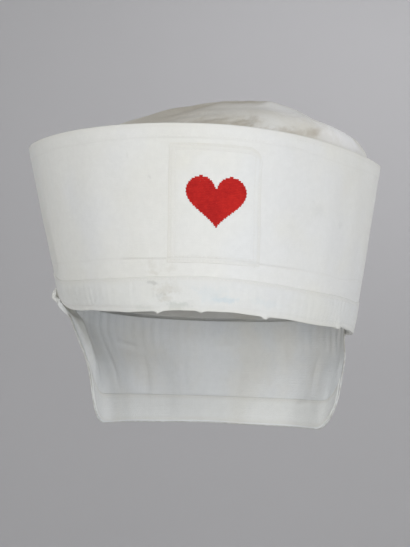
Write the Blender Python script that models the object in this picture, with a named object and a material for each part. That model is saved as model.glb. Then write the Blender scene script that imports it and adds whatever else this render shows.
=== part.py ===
"""A starched linen nurse's cap, in the shape it takes on a head. The head is left out.

A deep cuff stands up round the head and flares outwards. A soft crown puffs up inside it,
and a curtain, the neck flap, hangs behind the ears and over the nape.

Units are metres and +Z is up. The origin is the middle of the head opening, level with the
front of the cuff's lower edge. The wearer looks along -Y, so +X is the wearer's left.
"""

import math
from collections import namedtuple

import bmesh
import bpy
from mathutils import Vector

# ---- Driving dimensions -------------------------------------------------------------

HEAD_BREADTH = 0.150
HEAD_LENGTH = 0.190
SIDE_EASE = 0.0128  # what the cuff and the cloth under it take up at each side
SIDE_SHIFT = 0.0018  # the cap sits a little towards the wearer's left
FRONT_EASE = 0.0070
BACK_EASE = 0.0090

CUFF_HEIGHT = 0.1010
CUFF_WALL = 0.0024  # two starched layers
SOFT_WALL = 0.0012  # one layer, as in the crown and the neck flap
TRIM_WALL = 0.0010  # strips and the patch
SEAM_GAP = 0.0003  # between pieces that are sewn together

LOWER_BAND_WIDTH = 0.0180
EDGE_FADE = 4  # how fast the lower edge's lifts and droops die away up the cuff
CROWN_FOLLOWS = 1 / 3  # the lowest share of the crown, which moves with the cuff's edge
CROWN_SHOULDER = (0.35, 0.80)  # the crown turns from upright to level between these shares
FOLD_TAPER = 1.5  # how much a soft fold thins towards its two ends

PATCH_WIDTH = 0.0470
PATCH_OFFSET = 0.0025  # the patch sits a little towards the wearer's left
PATCH_FOOT = 0.0290  # height of the patch's lower edge above the cuff's
PATCH_HEAD = 0.0900

FLAP_RIGHT_END = math.radians(9)  # where the curtain's two front edges hang
FLAP_LEFT_END = math.radians(174)
FLAP_CORNER = 0.0230
FLAP_ROLLS = 0.3  # the top share of the flap, where its front edge rolls
FLAP_HEM_WIDTH = 0.0160
FLAP_HEM_MARGIN = 0.0010  # from the hem's lower edge to the flap's

CLOTH_ROUGHNESS = 0.85

# How finely each piece is divided.
AROUND = 72
CUFF_BAND_ROWS = 2  # up to the top of the lower band
CUFF_ROWS = 5  # from there to the rim
CROWN_ROWS = 18
FLAP_TOP_ROWS = 12  # in the share that rolls
FLAP_ROWS = 10  # in the rest of it
FLAP_COLUMNS = 36  # between its two rounded corners
FLAP_CORNER_COLUMNS = 6  # in each of them
HEM_ROWS = 3
PATCH_ROWS = 6
PATCH_COLUMNS = 12
SLOPE_STEP = 0.004  # of angle and of share, over which a surface's slopes are taken

# ---- Rings --------------------------------------------------------------------------

# A ring is a closed curve round the head. x and y are its middle. It reaches out to the
# right (+X), back (+Y), left and front. z is its mean height, and it climbs by lean_side
# towards +X and by lean_back towards +Y. A crease of 0 makes that side of it elliptical,
# and 1 makes it meet in a point, as where a tube of cloth was ironed flat.
Ring = namedtuple(
    "Ring", "z x y right back left front lean_side lean_back crease_right crease_left"
)

CUFF_LOWER_EDGE = Ring(
    z=-0.0027,
    x=0.0,
    y=0.0,
    right=HEAD_BREADTH / 2 + SIDE_EASE + SIDE_SHIFT,
    back=HEAD_LENGTH / 2 + BACK_EASE,
    left=HEAD_BREADTH / 2 + SIDE_EASE - SIDE_SHIFT,
    front=HEAD_LENGTH / 2 + FRONT_EASE,
    lean_side=0.0,
    lean_back=-0.0027,
    crease_right=0.27,
    crease_left=0.26,
)

# The flare of each side is the cuff's outward run from its lower edge to its rim.
CUFF_RIM = CUFF_LOWER_EDGE._replace(
    z=CUFF_LOWER_EDGE.z + CUFF_HEIGHT,
    right=CUFF_LOWER_EDGE.right + 0.0141,
    back=CUFF_LOWER_EDGE.back + 0.0160,
    left=CUFF_LOWER_EDGE.left + 0.0243,
    front=CUFF_LOWER_EDGE.front + 0.0160,
    lean_side=-0.0017,
    lean_back=0.0025,
    crease_right=0.70,
    crease_left=0.36,
)

# How the cuff's lower edge departs from its ring: it is turned up beside the wearer's
# right ear, and droops towards the left one.
Lift = namedtuple("Lift", "angle spread height")
EDGE_LIFTS = [
    Lift(angle=180, spread=19, height=0.0182),
    Lift(angle=186, spread=42, height=0.0030),
    Lift(angle=268, spread=18, height=0.0014),
    Lift(angle=316, spread=20, height=-0.0022),
    Lift(angle=358, spread=24, height=-0.0035),
]

# What is sewn inside the cuff lies this far inside the cuff's outer face, measured level:
# the flared wall's level thickness and a seam's gap.
SEWN = 0.0029

# The crown inside the cuff, from its seam up: at a share of the cuff's height, how far its
# outer face stands inside the cuff's outer face at the right, back, left and front.
Tuck = namedtuple("Tuck", "share right back left front")
CROWN_TUCKS = [
    Tuck(share=0.090, right=SEWN, back=SEWN, left=SEWN, front=SEWN),
    Tuck(share=0.330, right=0.0060, back=0.0060, left=0.0060, front=0.0060),
    Tuck(share=0.600, right=0.0085, back=0.0090, left=0.0100, front=0.0085),
    Tuck(share=0.820, right=0.0080, back=0.0110, left=0.0170, front=0.0120),
    Tuck(share=0.980, right=0.0075, back=0.0150, left=0.0240, front=0.0180),
]

# The crown above the cuff.
CROWN_RINGS = [
    #    z       x       y       right   back    left    front   leans           creases
    Ring(0.1095, 0.0105, 0.0040, 0.0795, 0.0900, 0.0765, 0.0860, 0.0025, 0.0020, 0.4, 0.2),
    Ring(0.1175, 0.0130, 0.0060, 0.0605, 0.0720, 0.0572, 0.0690, 0.0010, 0.0010, 0.2, 0.1),
    Ring(0.1240, 0.0165, 0.0060, 0.0410, 0.0500, 0.0400, 0.0480, 0.0000, 0.0000, 0.0, 0.0),
    Ring(0.1290, 0.0190, 0.0060, 0.0215, 0.0270, 0.0215, 0.0260, 0.0000, 0.0000, 0.0, 0.0),
    Ring(0.1305, 0.0200, 0.0060, 0.0010, 0.0010, 0.0010, 0.0010, 0.0000, 0.0000, 0.0, 0.0),
]

# Large soft folds. Each runs up or down the cloth at one angle, between two shares of its
# length. A depth above 0 is a ridge.
Fold = namedtuple("Fold", "angle spread depth low high")
CROWN_FOLDS = [
    Fold(angle=14, spread=9, depth=0.0030, low=0.40, high=0.96),
    Fold(angle=342, spread=10, depth=-0.0035, low=0.42, high=0.94),
    Fold(angle=40, spread=11, depth=-0.0045, low=0.38, high=0.92),
    Fold(angle=72, spread=10, depth=0.0030, low=0.30, high=0.90),
    Fold(angle=98, spread=9, depth=-0.0050, low=0.34, high=0.88),
    Fold(angle=128, spread=12, depth=0.0035, low=0.40, high=0.95),
    Fold(angle=158, spread=10, depth=-0.0040, low=0.44, high=0.90),
    Fold(angle=205, spread=13, depth=0.0020, low=0.50, high=0.94),
    Fold(angle=236, spread=12, depth=-0.0025, low=0.52, high=0.90),
    Fold(angle=292, spread=14, depth=0.0020, low=0.50, high=0.92),
]

# The neck flap's sections, against the cuff's lower edge: how far below it, and how far
# outside it at the right, back and left. The flap starts above the edge, inside the cuff.
Hang = namedtuple("Hang", "below right back left")
FLAP_HANGS = [
    Hang(below=-0.0078, right=-SEWN, back=-SEWN, left=-SEWN),
    Hang(below=0.0040, right=-0.0029, back=-0.0029, left=-0.0036),
    Hang(below=0.0150, right=-0.0023, back=-0.0018, left=-0.0085),
    Hang(below=0.0260, right=-0.0036, back=-0.0030, left=-0.0145),
    Hang(below=0.0370, right=-0.0052, back=-0.0055, left=-0.0178),
    Hang(below=0.0490, right=-0.0076, back=-0.0090, left=-0.0195),
    Hang(below=0.0612, right=-0.0105, back=-0.0130, left=-0.0210),
]
FLAP_FOLDS = [
    Fold(angle=24, spread=7, depth=-0.0015, low=0.20, high=1.30),
    Fold(angle=44, spread=8, depth=0.0020, low=0.20, high=1.30),
    Fold(angle=66, spread=8, depth=-0.0024, low=0.20, high=1.30),
    Fold(angle=88, spread=9, depth=0.0026, low=0.20, high=1.30),
    Fold(angle=112, spread=8, depth=-0.0024, low=0.20, high=1.30),
    Fold(angle=134, spread=8, depth=0.0020, low=0.20, high=1.30),
    Fold(angle=154, spread=7, depth=-0.0015, low=0.20, high=1.30),
    # The front edge rolls outwards under the cuff beside the wearer's right ear.
    Fold(angle=176, spread=12, depth=0.0052, low=0.095, high=0.18),
    Fold(angle=176, spread=12, depth=0.0055, low=0.100, high=0.27),
]


def ring_point(ring, angle):
    """The point of a ring at an angle from +X, anticlockwise seen from above."""
    across, along = math.cos(angle), math.sin(angle)
    reach_x, crease = (
        (ring.right, ring.crease_right) if across > 0 else (ring.left, ring.crease_left)
    )
    reach_y = ring.back if along > 0 else ring.front
    return Vector(
        (
            ring.x + across * reach_x,
            ring.y + along * abs(along) ** max(0.0, crease) * reach_y,
            ring.z + across * ring.lean_side + along * ring.lean_back,
        )
    )


def ring_along(rings, share):
    """The ring at a share of the way through a list, on a smooth curve through its rows."""
    place = share * (len(rings) - 1)
    start = max(0, min(int(place), len(rings) - 2))
    here, there = rings[start], rings[start + 1]
    before = rings[start - 1] if start > 0 else beyond(there, here)
    after = rings[start + 2] if start + 2 < len(rings) else beyond(here, there)
    rows = zip(before, here, there, after)
    return Ring(*(catmull_rom(place - start, *values) for values in rows))


def beyond(inner, end):
    """The ring one even step past the end of a list."""
    return Ring(*(2 * b - a for a, b in zip(inner, end)))


def catmull_rom(step, before, here, there, after):
    """The value at a step from here to there, with the slope of its neighbours at each."""
    slope_here, slope_there = (there - before) / 2, (after - here) / 2
    bend = 3 * (there - here) - 2 * slope_here - slope_there
    twist = 2 * (here - there) + slope_here + slope_there
    return here + step * (slope_here + step * (bend + step * twist))


def smooth(share):
    """0 to 1 with level ends."""
    share = max(0.0, min(1.0, share))
    return share * share * (3 - 2 * share)


def angle_between(a, b):
    """The turn from b to a, within half a turn each way."""
    return (a - b + math.pi) % math.tau - math.pi


def hump(angle, middle, spread):
    """1 at a middle angle, falling smoothly to 0 on both sides. These two are in degrees."""
    turn = angle_between(angle, math.radians(middle)) / math.radians(spread)
    return math.exp(-turn * turn)


def edge_climb(angle):
    """How the cuff's lower edge moves off its ring at an angle: up, and half as far out as
    the cuff's flare would take it, because the edge curls under where it is turned up."""
    lift = sum(lift.height * hump(angle, lift.angle, lift.spread) for lift in EDGE_LIFTS)
    face = ring_point(CUFF_RIM, angle) - ring_point(CUFF_LOWER_EDGE, angle)
    return Vector((face.x / 2, face.y / 2, face.z)) * lift / CUFF_HEIGHT


def fold_depth(folds, angle, share):
    """How far the folds push the cloth out at an angle and a share of its length."""
    total = 0.0
    for fold in folds:
        along = (share - fold.low) / (fold.high - fold.low)
        if 0 < along < 1:
            swell = math.sin(math.pi * along) ** FOLD_TAPER
            total += fold.depth * hump(angle, fold.angle, fold.spread) * swell
    return total


# ---- Surfaces: each gives the outer face's point at an angle and a share of its height --


def cuff_point(angle, share):
    """The cuff's outer face, from its lower edge at share 0 to its rim at 1."""
    low, high = ring_point(CUFF_LOWER_EDGE, angle), ring_point(CUFF_RIM, angle)
    return low.lerp(high, share) + edge_climb(angle) * (1 - share) ** EDGE_FADE


def crown_rings():
    """The crown's sections from its seam up, first inside the cuff and then above it."""
    tucked = []
    for tuck in CROWN_TUCKS:
        ring = ring_along([CUFF_LOWER_EDGE, CUFF_RIM], tuck.share)
        tucked.append(
            ring._replace(
                right=ring.right - tuck.right,
                back=ring.back - tuck.back,
                left=ring.left - tuck.left,
                front=ring.front - tuck.front,
            )
        )
    return tucked + CROWN_RINGS


def crown_point(angle, share):
    """The crown's outer face, from its seam at share 0 to its top at 1."""
    point = ring_point(ring_along(crown_rings(), share), angle)
    point += edge_climb(angle) * max(0.0, 1 - share / CROWN_FOLLOWS) ** 2
    depth = fold_depth(CROWN_FOLDS, angle, share)
    low, high = CROWN_SHOULDER
    upward = smooth((share - low) / (high - low))
    outward = Vector((math.cos(angle), math.sin(angle), 0.0)) * (1 - upward)
    return point + depth * (outward + Vector((0.0, 0.0, upward)))


def flap_rings():
    """The neck flap's sections as rings, worked out from the cuff's lower edge."""
    edge = CUFF_LOWER_EDGE
    return [
        edge._replace(
            z=edge.z - hang.below,
            right=edge.right + hang.right,
            back=edge.back + hang.back,
            left=edge.left + hang.left,
        )
        for hang in FLAP_HANGS
    ]


def flap_point(angle, share):
    """The neck flap's outer face, from its sewn top at share 0 to its hem at 1."""
    point = ring_point(ring_along(flap_rings(), share), angle)
    point += edge_climb(angle) * (1 - smooth(share)) ** 2
    depth = fold_depth(FLAP_FOLDS, angle, share)
    return point + depth * Vector((math.cos(angle), math.sin(angle), 0.0))


def flap_length():
    """The length of the neck flap's cloth down the middle of the back."""
    steps = [flap_point(math.pi / 2, share) for share in even(0.0, 1.0, 20)]
    return sum((b - a).length for a, b in zip(steps, steps[1:]))


def side_reach():
    """The mean reach of the cuff's lower edge to its two sides."""
    return (CUFF_LOWER_EDGE.right + CUFF_LOWER_EDGE.left) / 2


def flap_foot(angle):
    """The share at which the flap ends at an angle: 1, but less in its rounded corners."""
    from_edge = min(angle - FLAP_RIGHT_END, FLAP_LEFT_END - angle) * side_reach()
    inwards = max(0.0, FLAP_CORNER - from_edge)
    rise = FLAP_CORNER - math.sqrt(max(0.0, FLAP_CORNER**2 - inwards**2))
    return 1 - rise / flap_length()


def outward_normal(surface, angle, share):
    """The unit normal of a surface, away from the head."""
    step = SLOPE_STEP
    round_it = surface(angle + step, share) - surface(angle - step, share)
    up_it = surface(angle, share + step) - surface(angle, share - step)
    normal = round_it.cross(up_it).normalized()
    outward = Vector((math.cos(angle), math.sin(angle), 0.0))
    return normal if normal.dot(outward) > 0 else -normal


def moved_out(surface, angle, share, distance):
    """A surface's point moved along its normal, for what lies on that surface."""
    return surface(angle, share) + distance * outward_normal(surface, angle, share)


# ---- Building -----------------------------------------------------------------------


def linen(name, colour):
    """A starched cloth material."""
    material = bpy.data.materials.new(name)
    material.use_nodes = True
    shader = material.node_tree.nodes["Principled BSDF"]
    shader.inputs["Base Color"].default_value = (*colour, 1.0)
    shader.inputs["Roughness"].default_value = CLOTH_ROUGHNESS
    shader.inputs["Metallic"].default_value = 0.0
    return material


def cloth(name, rows, wall, material, closed=False, tip=None, outside=False):
    """A cloth piece from rows of outer points, lowest row first, with a wall's thickness.

    closed joins each row's ends into a ring, tip closes the last row with one point, and
    outside puts the wall on the outer side of the points instead of the inner."""
    shape = bmesh.new()
    lines = [[shape.verts.new(point) for point in row] for row in rows]
    for low, high in zip(lines, lines[1:]):
        pairs = list(zip(low, high))
        for (a, b), (c, d) in zip(pairs, pairs[1:] + pairs[: int(closed)]):
            shape.faces.new((a, c, d, b))
    if tip is not None:
        top = shape.verts.new(tip)
        last = lines[-1]
        for a, b in zip(last, last[1:] + last[:1]):
            shape.faces.new((a, b, top))
    mesh = bpy.data.meshes.new(name)
    shape.to_mesh(mesh)
    shape.free()
    mesh.materials.append(material)
    mesh.shade_smooth()
    piece = bpy.data.objects.new(name, mesh)
    bpy.context.scene.collection.objects.link(piece)
    thickness = piece.modifiers.new("Wall", "SOLIDIFY")
    thickness.thickness = wall
    thickness.offset = 1.0 if outside else -1.0
    thickness.use_even_offset = True
    return piece


def even(start, end, count):
    """count + 1 numbers in even steps."""
    return [start + (end - start) * k / count for k in range(count + 1)]


def round_the_head(count=AROUND):
    """Angles all round, in even steps, with none said twice."""
    return even(0.0, math.tau, count)[:-1]


def flap_angles():
    """Angles along the flap, close together in its rounded corners."""
    corner = [
        FLAP_CORNER * (1 - math.cos(turn)) / side_reach()
        for turn in even(0.0, math.pi / 2, FLAP_CORNER_COLUMNS)
    ]
    middle = even(FLAP_RIGHT_END + corner[-1], FLAP_LEFT_END - corner[-1], FLAP_COLUMNS)
    right = [FLAP_RIGHT_END + step for step in corner[:-1]]
    left = [FLAP_LEFT_END - step for step in reversed(corner[:-1])]
    return right + middle + left


def flap_shares():
    """Shares of the flap's length from its hem up to its sewn top."""
    return even(1.0, FLAP_ROLLS, FLAP_ROWS)[:-1] + even(FLAP_ROLLS, 0.0, FLAP_TOP_ROWS)


def front_angle(ring, x):
    """The angle at which a ring's front half lies x to the side of its middle."""
    return -math.acos(x / (ring.right if x > 0 else ring.left))


def band_shares():
    """Shares of the cuff's height up to the top of its lower band."""
    return even(0.0, LOWER_BAND_WIDTH / CUFF_HEIGHT, CUFF_BAND_ROWS)


def build_cuff(material):
    shares = band_shares() + even(band_shares()[-1], 1.0, CUFF_ROWS)[1:]
    rows = [[cuff_point(angle, share) for angle in round_the_head()] for share in shares]
    return cloth("cuff", rows, CUFF_WALL, material, closed=True)


def build_lower_band(material):
    """The turned strip along the cuff's lower edge, on its outside."""
    rows = [
        [moved_out(cuff_point, angle, share, SEAM_GAP) for angle in round_the_head()]
        for share in band_shares()
    ]
    return cloth("cuff_lower_band", rows, TRIM_WALL, material, closed=True, outside=True)


def build_badge_patch(material):
    """The oblong woven patch on the front of the cuff."""
    left, right = PATCH_OFFSET - PATCH_WIDTH / 2, PATCH_OFFSET + PATCH_WIDTH / 2
    rows = []
    for share in even(PATCH_FOOT / CUFF_HEIGHT, PATCH_HEAD / CUFF_HEIGHT, PATCH_ROWS):
        ring = ring_along([CUFF_LOWER_EDGE, CUFF_RIM], share)
        angles = [front_angle(ring, x) for x in even(left, right, PATCH_COLUMNS)]
        rows.append([moved_out(cuff_point, angle, share, SEAM_GAP) for angle in angles])
    return cloth("badge_patch", rows, TRIM_WALL, material, outside=True)


def build_crown(material):
    rows = [
        [crown_point(angle, share) for angle in round_the_head()]
        for share in even(0.0, 1.0, CROWN_ROWS)
    ]
    tip = sum(rows[-1], Vector()) / AROUND
    return cloth("crown", rows, SOFT_WALL, material, closed=True, tip=tip)


def build_neck_flap(material):
    rows = [
        [flap_point(angle, share * flap_foot(angle)) for angle in flap_angles()]
        for share in flap_shares()
    ]
    return cloth("neck_flap", rows, SOFT_WALL, material)


def build_flap_hem(material):
    """The hem, turned up on the neck flap's inside."""
    width = FLAP_HEM_WIDTH / flap_length()
    margin = FLAP_HEM_MARGIN / flap_length()
    inset = SOFT_WALL + SEAM_GAP
    rows = [
        [
            moved_out(flap_point, angle, flap_foot(angle) - margin - width * share, -inset)
            for angle in flap_angles()[1:-1]
        ]
        for share in even(0.0, 1.0, HEM_ROWS)
    ]
    return cloth("neck_flap_hem", rows, TRIM_WALL, material)


def main():
    for obj in list(bpy.data.objects):
        bpy.data.objects.remove(obj, do_unlink=True)
    starched = linen("starched_linen", (0.72, 0.73, 0.70))
    soft = linen("soft_linen", (0.68, 0.67, 0.63))
    woven = linen("woven_patch", (0.75, 0.76, 0.74))
    build_cuff(starched)
    build_lower_band(starched)
    build_badge_patch(woven)
    build_crown(soft)
    build_neck_flap(soft)
    build_flap_hem(soft)


main()
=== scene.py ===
# %% [markdown]
# # A starched nurse's cap
#
# Six pieces of linen make this cap. A deep **cuff** stands up round the head and flares
# outwards. A narrow **band** finishes its lower edge, and an oblong **patch** with a woven
# heart is sewn to its front. A soft **crown** puffs up inside the cuff, and a **neck flap**
# with a turned **hem** hangs behind the ears.
#
# The solids of these pieces come in as a fixed frame, in metres, with +Z up and the wearer
# looking along -Y. Each one is then covered by a cloth that follows the same named sizes and
# carries what the solids leave out: rounded edges, creases, sewing, weave and wear.

# %% Load the frame
import math

import bpy
import numpy as np
from mathutils import Matrix, Vector


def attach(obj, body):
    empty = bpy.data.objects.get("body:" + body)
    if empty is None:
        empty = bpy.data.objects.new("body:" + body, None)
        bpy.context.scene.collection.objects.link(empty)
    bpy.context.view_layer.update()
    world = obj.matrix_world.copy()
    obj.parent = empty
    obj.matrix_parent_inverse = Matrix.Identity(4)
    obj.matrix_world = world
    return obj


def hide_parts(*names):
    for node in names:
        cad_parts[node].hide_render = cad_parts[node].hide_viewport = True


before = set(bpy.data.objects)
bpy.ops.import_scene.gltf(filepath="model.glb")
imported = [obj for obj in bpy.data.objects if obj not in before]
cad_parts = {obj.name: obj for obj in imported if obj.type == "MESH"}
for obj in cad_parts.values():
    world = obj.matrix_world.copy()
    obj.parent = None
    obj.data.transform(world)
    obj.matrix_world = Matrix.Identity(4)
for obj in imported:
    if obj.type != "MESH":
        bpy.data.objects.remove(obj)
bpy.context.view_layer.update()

# %% [markdown]
# ## The camera
#
# The cap is seen from the front, about 0.7 m away and 5 cm below its middle. The cuff's lower
# edge is then nearly at eye level and almost straight, while its rim, well above, shows as an
# arch. A camera's matrix is easiest to write as steps: move it, turn it to its heading, tip
# it up from looking straight down, and roll it last about its own line of sight. The lens
# follows from the focal length in pixels, because Blender measures it against a sensor 36 mm
# long.

# %% Camera
PICTURE_LONG_SIDE, FOCAL_LENGTH, SENSOR = 547, 1164.1, 36.0  # pixels, pixels, millimetres
CAMERA_PLACE = Vector((-0.00279, -0.69870, -0.0199))
CAMERA_HEADING, CAMERA_PITCH, CAMERA_ROLL = -0.155, 3.913, 1.876  # degrees


def turned(degrees, axis):
    """A rotation matrix about one axis."""
    return Matrix.Rotation(math.radians(degrees), 4, axis)


def add_object(name, data):
    """An object that holds some data, linked to the scene."""
    made = bpy.data.objects.new(name, data)
    bpy.context.scene.collection.objects.link(made)
    return made


camera = add_object("camera", bpy.data.cameras.new("camera"))
camera.data.sensor_width = SENSOR
camera.data.lens = SENSOR * FOCAL_LENGTH / PICTURE_LONG_SIDE
camera.matrix_world = (
    Matrix.Translation(CAMERA_PLACE)
    @ turned(CAMERA_HEADING, "Z")
    @ turned(90 + CAMERA_PITCH, "X")
    @ turned(CAMERA_ROLL, "Z")
)
bpy.context.scene.camera = camera
print("camera lens", round(camera.data.lens, 2), "mm")

# %% [markdown]
# ## Rings round the head
#
# Every all-round piece is a stack of rings. A ring is one row of eleven numbers: its height,
# its middle, how far it reaches right, back, left and front, how much it climbs to the side
# and to the back, and how sharply it is creased at the right and left. Right and left are as
# seen from the front here, so +X is right and the wearer's right ear is at the left. A crease
# of 0 is an ellipse, and 1 is the pointed lens of a tube that was ironed flat. Numpy works
# out all the points of a piece in one call, which keeps a cloth of a hundred thousand points
# quick.

# %% Sizes and rings
CUFF_HEIGHT = 0.1010
CUFF_LOWER_EDGE = (-0.0027, 0, 0, 0.0896, 0.1040, 0.0860, 0.1020, 0, -0.0027, 0.27, 0.26)
CUFF_RIM = (0.0983, 0, 0, 0.1037, 0.1200, 0.1103, 0.1180, -0.0017, 0.0025, 0.70, 0.36)
RIGHT, LEFT = 3, 5  # where a ring holds its reach to these two sides


def ring_points(ring, angle):
    """Points of rings at angles from +X, anticlockwise seen from above."""
    z, x, y, right, back, left, front, side_climb, back_climb, crease_right, crease_left = (
        np.moveaxis(np.asarray(ring, float), -1, 0)
    )
    across, along = np.cos(angle), np.sin(angle)
    crease = np.maximum(0, np.where(across > 0, crease_right, crease_left))
    return np.stack([
        x + across * np.where(across > 0, right, left),
        y + along * np.abs(along) ** crease * np.where(along > 0, back, front),
        z + across * side_climb + along * back_climb,
    ], axis=-1)


def ring_along(rings, share):
    """The rings at shares of the way through a list, on a smooth curve through its rows."""
    rows = np.asarray(rings, float)
    rows = np.vstack([2 * rows[0] - rows[1], rows, 2 * rows[-1] - rows[-2]])
    place = np.asarray(share, float) * (len(rows) - 3)
    start = np.clip(np.floor(place).astype(int), 0, len(rows) - 4)
    step = (place - start)[..., None]
    before, here, there, after = (rows[start + k] for k in range(4))
    slope_here, slope_there = (there - before) / 2, (after - here) / 2
    bend = 3 * (there - here) - 2 * slope_here - slope_there
    twist = 2 * (here - there) + slope_here + slope_there
    return here + step * (slope_here + step * (bend + step * twist))


def smooth(share):
    """0 to 1 with level ends."""
    share = np.clip(share, 0, 1)
    return share * share * (3 - 2 * share)


def bell(off, width=1.0):
    """1 in the middle, falling smoothly to 0 on both sides."""
    return np.exp(-((off / width) ** 2))


def turn_from(angle, degrees):
    """Radians from a middle angle, within half a turn each way."""
    return (angle - math.radians(degrees) + math.pi) % math.tau - math.pi


def hump(angle, degrees, spread):
    """A bell round a middle angle, with its angle and spread in degrees."""
    return bell(turn_from(angle, degrees), math.radians(spread))


def humps(table, angle):
    """The sum of a table's humps, each given by its angle, spread and height."""
    return sum(height * hump(angle, middle, spread) for middle, spread, height in table)


def level(vector):
    """Numbers turned into a last axis of one, so that they can scale points."""
    return np.asarray(vector)[..., None]


print("cuff's lower edge is", round(2 * CUFF_LOWER_EDGE[RIGHT] * 1000), "mm across or so")

# %% [markdown]
# ## The three shapes that the cloth follows
#
# The **cuff** runs straight from its lower edge to its rim, but worn on a head its edge is
# turned up beside the right ear and droops at the left. The **crown** starts inside the
# cuff, tucked in by a few millimetres, and swells over the top with large soft folds. The
# **neck flap** hangs from inside the cuff's edge, and its front edge rolls outwards beside
# the right ear. Each shape is a function of an angle and a share of the height, so creases,
# stitches and stains can all be placed by the same two numbers.

# %% The cuff's shape
# Each row: angle, spread, height.
EDGE_LIFTS = (
    (180, 17, 0.0182),
    (186, 42, 0.0030),
    (268, 18, 0.0014),
    (316, 20, -0.0022),
    (358, 24, -0.0035),
)
# Small dips and rises of the worn lower edge: angle, spread, height.
EDGE_WEAR = (
    (222, 5, 0.0004),
    (241, 3, -0.0003),
    (253.3, 1.0, -0.0010),
    (260, 4, 0.0003),
    (268.3, 1.1, -0.0008),
    (279, 4, 0.0003),
    (290.2, 1.0, -0.0014),
    (299, 5, 0.0003),
    (327.3, 1.6, -0.0008),
    (332, 2.2, 0.0007),
    (12, 5, -0.0005),
    (47, 6, 0.0004),
    (83, 3, -0.0005),
    (104, 5, 0.0005),
    (139, 4, -0.0004),
    (196, 4, 0.0004),
)
LIFT_FADE, WEAR_FADE = 4, 16  # powers: how fast both die out up the cuff
UP = np.array([0.0, 0.0, 1.0])


def edge_climb(angle):
    """How the cuff's lower edge moves off its ring: up, and out with half of the flare."""
    face = ring_points(CUFF_RIM, angle) - ring_points(CUFF_LOWER_EDGE, angle)
    return face * np.array([0.5, 0.5, 1.0]) * level(humps(EDGE_LIFTS, angle) / CUFF_HEIGHT)


def cuff_point(angle, share):
    low, high = ring_points(CUFF_LOWER_EDGE, angle), ring_points(CUFF_RIM, angle)
    above = level(np.clip(1 - share, 0, 2))
    worn = level(humps(EDGE_WEAR, angle) * np.clip(1 - share, 0, 1) ** WEAR_FADE) * UP
    return low + (high - low) * level(share) + edge_climb(angle) * above**LIFT_FADE + worn


print("beside the right ear the edge climbs", round(edge_climb(math.pi)[2] * 1000), "mm")

# %% The crown's shape
SEWN = 0.0029
# How far the crown stands inside the cuff: share of the cuff, then right, back, left, front.
CROWN_TUCKS = (
    (0.090, SEWN, SEWN, SEWN, SEWN),
    (0.330, 0.0060, 0.0060, 0.0060, 0.0060),
    (0.600, 0.0085, 0.0090, 0.0100, 0.0085),
    (0.820, 0.0080, 0.0110, 0.0170, 0.0120),
    (0.980, 0.0075, 0.0150, 0.0240, 0.0180),
)
CROWN_RINGS = (
    (0.1095, 0.0105, 0.0040, 0.0795, 0.0900, 0.0765, 0.0860, 0.0025, 0.0020, 0.4, 0.2),
    (0.1175, 0.0130, 0.0060, 0.0605, 0.0720, 0.0572, 0.0690, 0.0010, 0.0010, 0.2, 0.1),
    (0.1240, 0.0165, 0.0060, 0.0410, 0.0500, 0.0400, 0.0480, 0.0000, 0.0000, 0.0, 0.0),
    (0.1290, 0.0190, 0.0060, 0.0215, 0.0270, 0.0215, 0.0260, 0.0000, 0.0000, 0.0, 0.0),
    (0.1305, 0.0200, 0.0060, 0.0010, 0.0010, 0.0010, 0.0010, 0.0000, 0.0000, 0.0, 0.0),
)
# Large soft folds: angle, spread, depth, and the shares between which they run.
CROWN_FOLDS = (
    (14, 9, 0.0030, 0.40, 0.96),
    (342, 10, -0.0035, 0.42, 0.94),
    (40, 11, -0.0045, 0.38, 0.92),
    (72, 10, 0.0030, 0.30, 0.90),
    (98, 9, -0.0050, 0.34, 0.88),
    (128, 12, 0.0035, 0.40, 0.95),
    (158, 10, -0.0040, 0.44, 0.90),
    (205, 13, 0.0020, 0.50, 0.94),
    (236, 12, -0.0025, 0.52, 0.90),
    (292, 14, 0.0020, 0.50, 0.92),
)


def fold_depth(folds, angle, share):
    """How far large folds push the cloth out."""
    total = 0.0
    for middle, spread, depth, low, high in folds:
        along = np.clip((share - low) / (high - low), 0, 1)
        total += depth * hump(angle, middle, spread) * np.sin(math.pi * along) ** 1.5
    return total


def outward(angle):
    return np.stack([np.cos(angle), np.sin(angle), 0 * angle], axis=-1)


def widened(ring, amounts, down=0.0):
    """A ring that reaches further right, back, left and front, and may hang lower."""
    ring = np.array(ring, float)
    ring[0] -= down
    ring[RIGHT : RIGHT + len(amounts)] += amounts
    return ring


CROWN_STACK = [
    widened(ring_along([CUFF_LOWER_EDGE, CUFF_RIM], share), -np.array(tucks))
    for share, *tucks in CROWN_TUCKS
] + list(CROWN_RINGS)


def crown_point(angle, share):
    point = ring_points(ring_along(CROWN_STACK, share), angle)
    point = point + edge_climb(angle) * level(np.maximum(0, 1 - 3 * share) ** 2)
    upward = level(smooth((share - 0.35) / 0.45))
    way = outward(angle) * (1 - upward) + upward * UP
    return point + level(fold_depth(CROWN_FOLDS, angle, share)) * way


print("crown:", len(CROWN_STACK), "rings and", len(CROWN_FOLDS), "large folds")

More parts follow.
